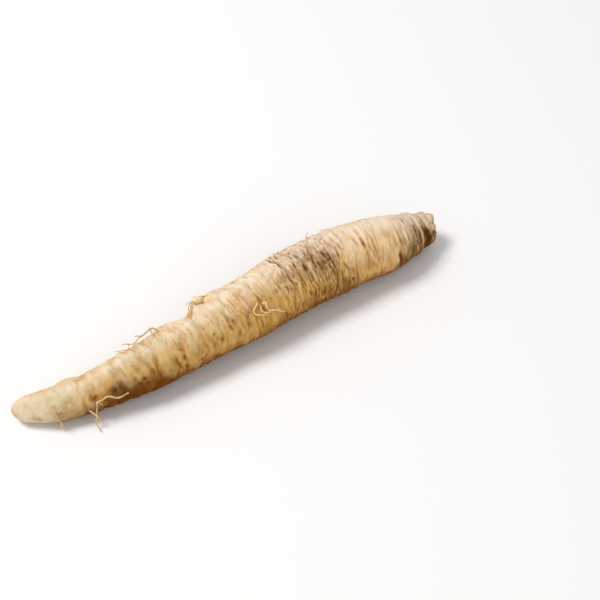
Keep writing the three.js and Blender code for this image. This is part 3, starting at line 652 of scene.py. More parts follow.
# Soil and painted shade darken the hollows between the knobs; the crests are lighter, rubbed pale and with a painted
# highlight.
height = relief - spread(relief, 14, 7)
tone["hollow_soil_and_shade"] = np.clip(-height / 0.32, 0, 1) * np.interp(X, [-87, -76, -64, -40, -28, 6, 14, 37, 44, 60, 64, 83], [.2, .4, 1, 1, .75, .72, 1, 1, .5, .5, .8, .8])
tone["hollow_soil_and_shade"] *= clean_top(X, np.degrees(F))
tone["crest_wear_and_highlight"] = np.clip(height / 0.28, 0, 1)

# Mottled dirt in the wrinkled zone and the neck.
grime = gradient_noise(np.stack([X / 1.5, GRAIN[..., 1] / 1.9, GRAIN[..., 2] / 1.9], -1), 35) + 0.6 * gradient_noise(GRAIN / 0.8, 36)
grime = np.clip(grime - 0.12, 0, 1) * ring_soil(NEAR) * clean_top(X, np.degrees(F))
tone["plum"] = np.maximum(tone["plum"], 0.85 * grime)
tone["rust"] = np.maximum(tone["rust"], 0.35 * grime)

for x0, turn, along_x, round_f, amount, kind in STAINS:
    ragged = gradient_noise(GRAIN / 2.6, 21) * 0.35 + gradient_noise(GRAIN / 1.1, 22) * 0.22
    d = np.hypot((X - x0) / along_x, turn_gap(F, turn) / round_f) + ragged
    tone[kind] = np.maximum(tone[kind], amount * (1 - smooth(0.25, 1.25, d)))

# The neck's dark band, clearest on the front and weaker on top. It ends in a dark groove, which
# draws back from the crown on the upper front, where the crown's collar is pale.
front_turn = turn_gap(F, 0)
collar = smooth(10, 58, front_turn) * (1 - smooth(120, 176, front_turn))
band = smooth(62.0, 66.5, X + 0.9 * gradient_noise(GRAIN / 3.0, 31)) * (1 - smooth(0.0, 1.0, (X - 77.5 + 2.2 * collar) / (3.0 - 1.0 * collar)))
face = np.interp(X, [70, 73], [0.17, 0.28]) + 0.78 * (1 - smooth(0.15, 0.9, np.cos(F - math.radians(108))))
streaks = 0.75 + 0.45 * gradient_noise(np.stack([PHASE / 0.8, GRAIN[..., 1] / 3.5, GRAIN[..., 2] / 3.5], -1), 32)
tone["plum"] = np.maximum(tone["plum"], np.clip(band * face * streaks, 0, 1))
behind = 1 - smooth(-0.3, 0.5, np.cos(F))
drawn = X - 0.4 + 1.8 * collar + (0.25 + 0.65 * behind) * gradient_noise(GRAIN / 1.4, 45)
upper = np.sin(F) + (0.08 + 0.45 * behind) * gradient_noise(GRAIN / 2.0, 46)
worn = 1 - behind * np.clip(0.42 + 0.9 * gradient_noise(np.stack([PHASE / 0.7, GRAIN[..., 1] / 2.2, GRAIN[..., 2] / 2.2], -1), 47), 0.1, 0.9)
tone["umber"] = np.maximum(tone["umber"], smooth(73.2, 74.6, drawn) * (1 - smooth(76.8, 78.8, drawn)) * (1 - smooth(0.65 - 0.5 * behind, 0.95, upper)) * worn)
neck = smooth(61.5, 65.0, X)
tone["plum"] = np.maximum(tone["plum"], 0.6 * neck * tone["ochre"])
tone["ochre"] *= 1 - 0.65 * neck
tone["rust"] = np.maximum(tone["rust"], (0.75 + 0.2 * smooth(70, 73, X)) * neck * tone["plum"] * (1 - smooth(-0.2, 0.7, np.sin(F))))
tone["rose"] = 1 - smooth(18, 60, np.abs(turn_gap(F, 112)))
tone["rose"] = tone["rose"] * np.interp(X, [-87, -60, -20, 8, 18, 38, 44, 60, 65, 78, 81], [.05, .08, .08, .12, .55, .6, .4, .5, .95, .85, .3])
tone["rose"] = tone["rose"] * np.clip(0.75 + 0.2 * smooth(62, 67, X) + 0.7 * gradient_noise(GRAIN / 3.2, 92), 0, 1)

# The lower side is browner: soil where the root lay, and painted shade on the side turned away from the light.
lean = turn_gap(F, 105)
lean = np.where(lean > 0, 0.75 * lean, -lean)
lean = lean + 15 * gradient_noise(GRAIN / 6.0, 41) + 9 * gradient_noise(GRAIN / 1.8, 42)
tone["tan_and_shade"] = smooth(-6, 70, lean) * np.interp(
    X, [-87, -77, -71, -62, -40, -28, 6, 20, 38, 44, 60, 64, 71, 75, 83], [.05, .10, .5, .95, .94, .88, .92, 1, .92, .76, .74, .50, .36, .5, .5])
start = np.interp(X, [-87, -70, -60, -52, -42, -35, -30, -20, -8, 0, 20, 36, 42, 50, 59, 63, 67, 72, 76, 83],
                  [100, 84, 67, 45, 52, 72, 80, 86, 95, 88, 79, 79, 92, 106, 96, 76, 92, 86, 80, 84])
bands = gradient_noise(np.stack([PHASE / 2.3, GRAIN[..., 1] / 9.0, GRAIN[..., 2] / 9.0], -1), 91)
tone["tan_and_shade"] = np.clip(tone["tan_and_shade"] * (1 + 0.35 * bands), 0, 1)
# Painted shade and soil: the lowest side is made darker brown still.
tone["loam_and_shade"] = smooth(0, 52, lean - start) * np.interp(X, [-87, -77, -70, -60, 83], [0, .05, .75, 1, 1])

tone["pale"] *= 1 - 0.75 * tone["loam_and_shade"]

# Painted shade: the thin end and the top of the tip are darkened and made a little greener, but for the front of the
# tip.
tone["dim_shade"] = np.interp(X, [-87, -74, -66, -58, -50, -40, -30, -20, 0, 14, 24], [.8, .8, .65, .58, .85, .75, .55, .4, .34, .2, 0]) + 0 * F
# Painted shade on the lit top-back of the tip.
top_shade = 1 - smooth(22, 52, np.abs(turn_gap(F, 134)) + 8 * gradient_noise(GRAIN / 4.0, 44))
tone["dim_shade"] *= 1 - 0.45 * (1 - smooth(30, 62, np.abs(turn_gap(F, 134))))
tone["tan_and_shade"] = np.maximum(tone["tan_and_shade"], top_shade * np.interp(X, [-87, -40, -12, 0], [.42, .42, .25, 0]))
tone["dim_shade"] *= 1 - np.interp(X, [-87, -78, -72], [.6, .5, 0]) * smooth(35, 85, np.abs(turn_gap(F, 105)))

# The lower side is a deeper yellow: painted warm light, as if bounced up from below.
tone["warm_bounce"] = smooth(35, 100, np.abs(turn_gap(F, 105)) + 10 * gradient_noise(GRAIN / 5.0, 43)) * np.interp(
    X, [-87, -52, -42, -8, 4, 26, 40, 60, 64, 70, 73, 79, 82], [0, 0, .55, .6, .9, .9, .75, .35, .5, .75, .95, .9, .5])

# Places rubbed cleaner than the skin round them: station, turn, half length, half width in degrees, share.
for x0, turn, along_x, round_f, share in ((17, 28, 11, 16, 0.62), (7, 44, 5, 26, 0.35), (7, 25, 4.4, 14, 0.35), (-24, 28, 4.2, 16, 0.6), (40.5, 50, 3.6, 18, 0.8), (57, 70, 4.8, 19, 0.7), (63, 52, 3.0, 15, 0.45)):
    rubbed = 1 - share * np.exp(-(((X - x0) / along_x) ** 2) - (turn_gap(F, turn) / round_f) ** 2)
    for k in ("umber", "olive", "rust", "plum", "ochre", "hollow_soil_and_shade"):
        tone[k] *= rubbed
tone["tan_and_shade"] *= 1 - 0.35 * np.exp(-(((X - 56) / 5) ** 2) - (turn_gap(F, 74) / 20) ** 2)

# The crown's end face: a fissured scar, brown all over, and the same from every side at its middle.
END = (X > 0) * (1 - smooth(0.55, 1.0, ends(X)))
fissure = gradient_noise(GRAIN / 1.5, 71) + 0.6 * gradient_noise(GRAIN / 0.7, 72)
for k, level in (("tan_and_shade", 0.70), ("loam_and_shade", 0.18), ("umber", 0.10), ("plum", 0.38), ("rust", 0.28)):
    tone[k] = tone[k] * (1 - END) + level * END
tone["umber"] = tone["umber"] + END * 0.8 * np.clip(-fissure - 0.08, 0, 1)
tone["pale"] = np.maximum(tone["pale"] * (1 - END), END * np.clip(fissure - 0.25, 0, 0.4))
tipward = (X < 0) * (1 - smooth(0.3, 0.9, ends(X)))
for k, level in (("tan_and_shade", 0.05), ("loam_and_shade", 0.0), ("blush", 0.25), ("hollow_soil_and_shade", 0.1)):
    tone[k] = tone[k] * (1 - tipward) + level * tipward

for k in tone:
    tone[k] = np.clip(tone[k], 0, 1)

fade = np.minimum(1, ends(X) * 1.15)
RADIAL = (R0 + relief * free_skin(F) * fade + relief * (1 - free_skin(F)) * 0.35 * fade) * ends(X)
_, FRONT, UP = axis_frame(X)
BODY = axis_point(X) + FRONT * (RADIAL * np.cos(F))[..., None] + UP * (RADIAL * np.sin(F))[..., None]
sunken = END * (0.9 * np.exp(-((RADIAL / 2.4) ** 2)) - 0.35 * fissure * smooth(0.0, 0.5, END))
BODY -= axis_frame(X)[0] * sunken[..., None]
BODY[..., 2] = np.maximum(BODY[..., 2], 0.0)


def surface_point(x, turn, out=0.0):
    f = np.radians(turn)
    r = float(macro_radius(np.array(float(x)), np.array(f)) * ends(np.array(float(x)))) + out
    _, fr, up = axis_frame(np.array(float(x)))
    return axis_point(float(x)) + fr * r * math.cos(f) + up * r * math.sin(f)


# --- meshes --------------------------------------------------------------------------------
TONES = list(tone) + ["fibre", "straw"]


def new_mesh(name, points, faces, grain, masks):
    """A mesh object in the row frame, in metres, with its straightened coordinates and tones."""
    me = bpy.data.meshes.new(name)
    me.from_pydata((points - ORIGIN) * MM, [], faces)
    me.update()
    a = me.attributes.new("grain", "FLOAT_VECTOR", "POINT")
    a.data.foreach_set("vector", np.asarray(grain, np.float32).ravel())
    for k in TONES:
        a = me.attributes.new(k, "FLOAT", "POINT")
        v = masks.get(k)
        a.data.foreach_set("value", np.zeros(len(points), np.float32) if v is None else np.asarray(v, np.float32).ravel())
    ob = bpy.data.objects.new(name, me)
    bpy.context.scene.collection.objects.link(ob)
    return ob


def body_mesh():
    n, m = STATIONS, SECTORS
    points = np.concatenate([BODY.reshape(-1, 3), [axis_point(X_TIP), axis_point(X_CROWN)]])
    idx = np.arange(n * m).reshape(n, m)
    nxt = np.roll(idx, -1, 1)
    a, b, c, d = idx[:-1], nxt[:-1], nxt[1:], idx[1:]
    quads = np.stack([a, d, c, b], -1).reshape(-1, 4)
    faces = quads.tolist()
    tip, crown = n * m, n * m + 1
    faces += [[tip, int(i), int(j)] for i, j in zip(idx[0], nxt[0])]
    faces += [[crown, int(j), int(i)] for i, j in zip(idx[-1], nxt[-1])]
    grain = np.concatenate([GRAIN.reshape(-1, 3), [[X_TIP, 0, 0], [X_CROWN, 0, 0]]])
    masks = {k: np.concatenate([v.ravel(), [v[0].mean(), v[-1].mean()]]) for k, v in tone.items()}
    return new_mesh("deodeok_root_skin", points, faces, grain, masks)


def centripetal(points, step):
    """Points about step apart along the smooth curve through the given ones."""
    p = np.asarray(points, float)
    p = np.concatenate([[2 * p[0] - p[1]], p, [2 * p[-1] - p[-2]]])
    out = []
    for i in range(1, len(p) - 2):
        p0, p1, p2, p3 = p[i - 1:i + 3]
        t0 = 0.0
        t1 = t0 + max(np.linalg.norm(p1 - p0), 1e-6) ** 0.5
        t2 = t1 + max(np.linalg.norm(p2 - p1), 1e-6) ** 0.5
        t3 = t2 + max(np.linalg.norm(p3 - p2), 1e-6) ** 0.5
        n = max(2, int(np.ceil(np.linalg.norm(p2 - p1) / step)))
        for t in np.linspace(t1, t2, n, endpoint=False):
            a1 = (t1 - t) / (t1 - t0) * p0 + (t - t0) / (t1 - t0) * p1
            a2 = (t2 - t) / (t2 - t1) * p1 + (t - t1) / (t2 - t1) * p2
            a3 = (t3 - t) / (t3 - t2) * p2 + (t - t2) / (t3 - t2) * p3
            b1 = (t2 - t) / (t2 - t0) * a1 + (t - t0) / (t2 - t0) * a2
            b2 = (t3 - t) / (t3 - t1) * a2 + (t - t1) / (t3 - t1) * a3
            out.append((t2 - t) / (t2 - t1) * b1 + (t - t1) / (t2 - t1) * b2)
    out.append(p[-2])
    return np.array(out)


def fibre_mesh(name, course, r0, r1, seed, sides=8, step=0.34, knot=0.15, flare=0.4, straw=0.0):
    """A tapering rootlet, a little knotty, wider where it leaves the skin."""
    r = np.random.default_rng(seed)
    at = centripetal(course, step)
    n = len(at)
    s = np.concatenate([[0], np.cumsum(np.linalg.norm(np.diff(at, axis=0), axis=1))])
    t = s / s[-1]
    tangent = np.gradient(at, axis=0)
    tangent /= np.linalg.norm(tangent, axis=1, keepdims=True)
    side = np.cross(tangent[0], [0.3, 0.2, 1.0])
    side /= np.linalg.norm(side)
    rad = (r0 + (r1 - r0) * t) * (1 + flare * np.exp(-s / (1.6 * r0)))
    rad = rad * (1 + knot * np.interp(s, np.linspace(0, s[-1], max(4, int(s[-1] / 0.9))), r.normal(size=max(4, int(s[-1] / 0.9)))))
    points, grain = [], []
    for i in range(n):
        side = side - tangent[i] * side.dot(tangent[i])
        side /= np.linalg.norm(side)
        other = np.cross(tangent[i], side)
        for k in range(sides):
            g = 2 * math.pi * k / sides
            points.append(at[i] + rad[i] * (side * math.cos(g) + other * math.sin(g)))
            grain.append([s[i] + 300 + seed * 7, 3 * math.cos(g), 3 * math.sin(g)])
    points.append(at[0])
    points.append(at[-1] + tangent[-1] * rad[-1] * 0.9)
    grain += [[300 + seed * 7, 0, 0], [300 + seed * 7 + s[-1], 0, 0]]
    points = np.array(points)
    faces = []
    for i in range(n - 1):
        for k in range(sides):
            a, b = i * sides + k, i * sides + (k + 1) % sides
            faces.append([a, b, b + sides, a + sides])
    base, top = n * sides, n * sides + 1
    for k in range(sides):
        faces.append([base, (k + 1) % sides, k])
        faces.append([top, (n - 1) * sides + k, (n - 1) * sides + (k + 1) % sides])
    points[:, 2] = np.maximum(points[:, 2], 0.02)
    ones = np.ones(len(points))
    shade = np.clip(np.repeat(0.25 * r.normal(size=n) + 0.2, sides), 0, 1)
    return new_mesh(name, points, faces, grain, {"fibre": ones, "ochre": np.concatenate([shade, [0, 0]]) * 0.5 * (1 - straw), "straw": ones * straw})


END_SKIN = KDTree(int((X > 74).sum()))
for v, at in enumerate(BODY[X > 74]):
    END_SKIN.insert(at, v)
END_SKIN.balance()


def bud_mesh(i, spec):
    """A crown bud: a blunt egg leaning outwards, with the lips of overlapping scales."""
    x, turn, depth, a, b, c, lean, pale, rust, umber, blush = spec
    f = math.radians(turn)
    t, fr, up = axis_frame(np.array(float(x)))
    out = fr * math.cos(f) + up * math.sin(f)
    rnd = np.cross(t, out)
    centre = surface_point(x, turn) - out * depth
    lean = math.radians(lean)
    e1 = t * math.cos(lean) + out * math.sin(lean)
    e3 = out * math.cos(lean) - t * math.sin(lean)
    rows, cols = 30, 36
    th, g = np.meshgrid(np.pi * (np.arange(rows) + 0.5) / rows, 2 * np.pi * np.arange(cols) / cols, indexing="ij")
    u = np.stack([np.cos(th), np.sin(th) * np.cos(g), np.sin(th) * np.sin(g)], -1).reshape(-1, 3)
    u = np.concatenate([u, [[1.0, 0, 0], [-1.0, 0, 0]]])
    q = u * 1.5 + i * 13.0
    s = 0.5 - 0.5 * u[:, 0]
    step = (2.3 * s + 0.22 * np.cos(np.arctan2(u[:, 2], u[:, 1]) * 2 + i) * np.sin(np.pi * s) + 0.3 * gradient_noise(q, 53) + 0.35) % 1.0
    lip = 0.13 * (step - 0.5) * smooth(0.0, 0.15, s)
    size = 1 + 0.13 * gradient_noise(q, 51) + 0.08 * gradient_noise(q * 2.4, 52) + lip
    taper = 1 - 0.22 * u[:, 0]
    p = centre + np.outer(u[:, 0] * size * a, e1) + np.outer(u[:, 1] * size * taper * c, e3) + np.outer(u[:, 2] * size * taper * b, rnd)
    faces = []
    for r_ in range(rows - 1):
        for k in range(cols):
            i0, i1 = r_ * cols + k, r_ * cols + (k + 1) % cols
            faces.append([i0, i1, i1 + cols, i0 + cols])
    n0, n1 = rows * cols, rows * cols + 1
    for k in range(cols):
        faces.append([n0, (k + 1) % cols, k])
        faces.append([n1, (rows - 1) * cols + k, (rows - 1) * cols + (k + 1) % cols])
    p[:, 2] = np.maximum(p[:, 2], 0.05)
    under_lip = np.exp(-((step / 0.16) ** 2)) * smooth(0.02, 0.2, s)
    # Painted shade at the bud's foot, where it meets the skin.
    foot_shade = np.exp(-((np.array([END_SKIN.find(v)[2] for v in p]) / 0.45) ** 2))
    worn = np.clip(0.5 + 0.7 * gradient_noise(q * 1.7, 54), 0, 1)
    return new_mesh(f"bud_{i}", p, faces, np.stack([p[:, 0], p[:, 1], p[:, 2]], -1),
                    {"umber": np.clip(0.35 * under_lip + (0.5 - 0.35 * pale) * foot_shade + umber * worn, 0, 1), "rust": np.clip(rust * (0.5 + worn) + 0.3 * under_lip, 0, 1),
                     "blush": np.clip(blush * (1.2 - 0.6 * worn), 0, 1), "tan_and_shade": np.full(len(p), 0.3), "plum": (0.05 + 0.3 * worn) * (1 - blush) * (1 - 0.6 * pale),
                     "pale": np.clip(pale * (1.3 - worn) * (1 - 0.8 * under_lip) * (1 - foot_shade), 0, 1)})


def broken_root_mesh(course, r0, r1):
    """The stump of a side root, square-shouldered, snapped off short with a fibrous end."""
    at = centripetal(course, 0.24)
    n, sides = len(at), 36
    length = np.concatenate([[0], np.cumsum(np.linalg.norm(np.diff(at, axis=0), axis=1))])
    tangent = np.gradient(at, axis=0)
    tangent /= np.linalg.norm(tangent, axis=1, keepdims=True)
    side = np.array([0.0, 0.0, 1.0]) - tangent[0] * tangent[0][2]
    g = 2 * np.pi * np.arange(sides) / sides
    points, grain, brown, end = [], [], [], []
    for i in range(n):
        side = side - tangent[i] * side.dot(tangent[i])
        side /= np.linalg.norm(side)
        other = np.cross(tangent[i], side)
        box = (np.abs(np.cos(g)) ** 2.7 + np.abs(np.sin(g)) ** 2.7) ** (-1 / 2.7)
        place = np.stack([np.full(sides, length[i]), 1.7 * np.cos(g), 1.7 * np.sin(g)], -1)
        rad = (r0 + (r1 - r0) * length[i] / length[-1]) * 0.93 * box * (
            1 + 0.12 * gradient_noise(place / 1.3, 81) + 0.07 * gradient_noise(place / np.array([2.6, 0.7, 0.7]), 82))
        slip = (0.42 * gradient_noise(place[:, 1:].repeat(2, 1)[:, :3] * 1.6, 83) + 0.12) * smooth(0.7, 1.0, length[i] / length[-1])
        points.append(at[i] + rad[:, None] * (side * np.cos(g)[:, None] + other * np.sin(g)[:, None]) + tangent[i] * slip[:, None])
        grain.append(place * np.array([1.0, 1.0, 1.0]) + np.array([420.0, 0, 0]))
        brown.append(np.clip(math.exp(-((length[i] - 3.5) / 1.1) ** 2) + 0.35 * gradient_noise(place / 0.9, 85) * smooth(1.8, 3.0, length[i]), 0, 1))
        end.append(np.zeros(sides))
    for share in (0.78, 0.55, 0.32, 0.12):
        place = np.stack([np.full(sides, length[-1]), share * 1.7 * np.cos(g), share * 1.7 * np.sin(g)], -1)
        rad = r1 * 0.93 * share * ((np.abs(np.cos(g)) ** 2.7 + np.abs(np.sin(g)) ** 2.7) ** (-1 / 2.7))
        slip = 0.30 * gradient_noise(place * 1.9, 84) - 0.12
        points.append(at[-1] + rad[:, None] * (side * np.cos(g)[:, None] + other * np.sin(g)[:, None]) + tangent[-1] * slip[:, None])
        grain.append(place + np.array([420.0, 0, 0]))
        brown.append(np.zeros(sides))
        end.append(np.ones(sides))
    rings = n + 4
    points = np.concatenate(points + [[at[0]], [at[-1]]])
    grain = np.concatenate(grain + [[[420.0, 0, 0]], [[420.0 + length[-1], 0, 0]]])
    brown = np.concatenate(brown + [[0], [0]])
    end = np.concatenate(end + [[0], [1]])
    faces = []
    for i in range(rings - 1):
        for k in range(sides):
            a, b = i * sides + k, i * sides + (k + 1) % sides
            faces.append([a, b, b + sides, a + sides])
    base, top = rings * sides, rings * sides + 1
    for k in range(sides):
        faces.append([base, (k + 1) % sides, k])
        faces.append([top, (rings - 1) * sides + k, (rings - 1) * sides + (k + 1) % sides])
    return new_mesh("side_root", points, faces, grain,
                    {"ochre": np.clip(0.9 * brown + 0.3 * end, 0, 1), "rust": 0.4 * brown, "tan_and_shade": np.full(len(points), 0.25), "dim_shade": np.full(len(points), 0.3), "pale": np.clip(1.15 - 1.3 * brown, 0, 1)})


def gather(objects):
    """All the attributes of the given meshes, by place, before they are joined."""
    total = sum(len(o.data.vertices) for o in objects)
    tree = KDTree(total)
    values = {k: [] for k in TONES + ["grain"]}
    at = 0
    for o in objects:
        n = len(o.data.vertices)
        co = np.empty(n * 3, np.float32)
        o.data.vertices.foreach_get("co", co)
        for i, v in enumerate(co.reshape(-1, 3)):
            tree.insert(v, at + i)
        at += n
        for k in TONES:
            v = np.empty(n, np.float32)
            o.data.attributes[k].data.foreach_get("value", v)
            values[k].append(v)
        v = np.empty(n * 3, np.float32)
        o.data.attributes["grain"].data.foreach_get("vector", v)
        values["grain"].append(v.reshape(-1, 3))
    tree.balance()
    return tree, {k: np.concatenate(v) for k, v in values.items()}


def unite(body, parts):
    """Joins the parts to the body as one closed skin, and gives each vertex its tones back."""
    tree, values = gather([body] + parts)
    for p in parts:
        m = body.modifiers.new("join", "BOOLEAN")
        m.operation = "UNION"
        m.solver = "MANIFOLD"
        m.object = p
    bpy.context.view_layer.update()
    graph = bpy.context.evaluated_depsgraph_get()
    made = bpy.data.meshes.new_from_object(body.evaluated_get(graph))
    body.modifiers.clear()
    if len(made.vertices) < len(body.data.vertices):
        raise RuntimeError("the rootlets did not join the skin")
    body.data = made
    for a in list(made.attributes):
        if a.name in TONES or a.name == "grain":
            made.attributes.remove(a)
    n = len(made.vertices)
    co = np.empty(n * 3, np.float32)
    made.vertices.foreach_get("co", co)
    nearest = np.array([tree.find(v)[1] for v in co.reshape(-1, 3)])
    a = made.attributes.new("grain", "FLOAT_VECTOR", "POINT")
    a.data.foreach_set("vector", values["grain"][nearest].astype(np.float32).ravel())
    for k in TONES:
        a = made.attributes.new(k, "FLOAT", "POINT")
        a.data.foreach_set("value", values[k][nearest].astype(np.float32))
    for p in parts:
        bpy.data.objects.remove(p)
    return body


parts = [bud_mesh(i, b) for i, b in enumerate(BUDS)]
bud_tree, _ = gather(parts)
parts.append(broken_root_mesh(*SIDE_ROOT))
# The skin is darker where the buds and the broken side root meet it: painted shade in the joins.
close = X > 74
gap = np.array([bud_tree.find(v)[2] for v in (BODY[close] - ORIGIN) * MM]) / MM
tone["umber"][close] = np.clip(tone["umber"][close] + 0.45 * (1 - 0.75 * collar[close]) * np.exp(-((gap / 0.4) ** 2)), 0, 1)
tone["pale"][close] *= 1 - (1 - 0.75 * collar[close]) * np.exp(-((gap / 0.6) ** 2))
stump_tree, _ = gather(parts[-1:])
close = (X > -24) & (X < -8)
gap = np.array([stump_tree.find(v)[2] for v in (BODY[close] - ORIGIN) * MM]) / MM
# Painted shade in the join round the broken side root.
join_shade = np.exp(-((gap / 0.5) ** 2)) * (0.35 + 0.65 * smooth(-11.5, -14.0, X[close]))
tone["ochre"][close] = np.maximum(tone["ochre"][close], 0.8 * join_shade)
tone["umber"][close] = np.maximum(tone["umber"][close], 0.7 * join_shade ** 3 * smooth(-12.0, -13.5, X[close]))
root = body_mesh()
for i, (course, r0, r1) in enumerate(ROOTLETS):
    curl = 0 < course[0][0] < 6  # the curled ones on the front are brighter than the rest
    parts.append(fibre_mesh(f"rootlet_{i}", course, r0 * (1.1 if curl else 1), r1 * (1.1 if curl else 1), 10 + i, straw=0.8 if curl else 0.0))
root = unite(root, parts)
root.data.shade_smooth()
print("skin:", len(root.data.vertices), "vertices,", sum(len(p.vertices) - 2 for p in root.data.polygons), "triangles")


# --- materials -----------------------------------------------------------------------------
def colour(r, g, b):
    """An 0-255 screen colour as linear RGBA."""
    lin = [(v / 255 / 12.92) if v / 255 <= 0.04045 else ((v / 255 + 0.055) / 1.055) ** 2.4 for v in (r, g, b)]
    return (*lin, 1.0)


class Nodes:
    def __init__(self, name):
        self.material = bpy.data.materials.new(name)
        self.material.use_nodes = True
        self.tree = self.material.node_tree
        self.tree.nodes.clear()
        self.out = self.add("ShaderNodeOutputMaterial")
        self.bsdf = self.add("ShaderNodeBsdfPrincipled")
        self.link(self.bsdf.outputs["BSDF"], self.out.inputs["Surface"])

    def add(self, kind, **values):
        n = self.tree.nodes.new(kind)
        for k, v in values.items():
            setattr(n, k, v)
        return n

    def link(self, a, b):
        self.tree.links.new(a, b)

    def attribute(self, name, vector=False):
        n = self.add("ShaderNodeAttribute", attribute_name=name, attribute_type="GEOMETRY")
        return n.outputs["Vector" if vector else "Fac"]

    def math(self, op, a, b=0.0, clamp=False):
        n = self.add("ShaderNodeMath", operation=op, use_clamp=clamp)
        for i, v in enumerate((a, b)):
            if isinstance(v, (int, float)):
                n.inputs[i].default_value = v
            else:
                self.link(v, n.inputs[i])
        return n.outputs[0]

    def scaled(self, vector, scale, shift=(0, 0, 0)):
        n = self.add("ShaderNodeMapping", vector_type="POINT")
        self.link(vector, n.inputs["Vector"])
        n.inputs["Scale"].default_value = scale
        n.inputs["Location"].default_value = shift
        return n.outputs[0]

    def noise(self, vector, scale, detail=3.0, roughness=0.55, distortion=0.0):
        n = self.add("ShaderNodeTexNoise", noise_dimensions="3D")
        self.link(vector, n.inputs["Vector"])
        n.inputs["Scale"].default_value = scale
        n.inputs["Detail"].default_value = detail
        n.inputs["Roughness"].default_value = roughness
        n.inputs["Distortion"].default_value = distortion
        return n.outputs["Fac"]

    def ramp(self, value, low, high, out_low=0.0, out_high=1.0):
        n = self.add("ShaderNodeMapRange", clamp=True, interpolation_type="SMOOTHSTEP")
        self.link(value, n.inputs["Value"])
        for k, v in (("From Min", low), ("From Max", high), ("To Min", out_low), ("To Max", out_high)):
            n.inputs[k].default_value = v
        return n.outputs["Result"]

    def mix(self, factor, a, b, blend="MIX"):
        n = self.add("ShaderNodeMix", data_type="RGBA", blend_type=blend, clamp_factor=True)
        for socket, v in ((n.inputs[0], factor), (n.inputs[6], a), (n.inputs[7], b)):
            if isinstance(v, (int, float, tuple)):
                socket.default_value = v
            else:
                self.link(v, socket)
        return n.outputs[2]


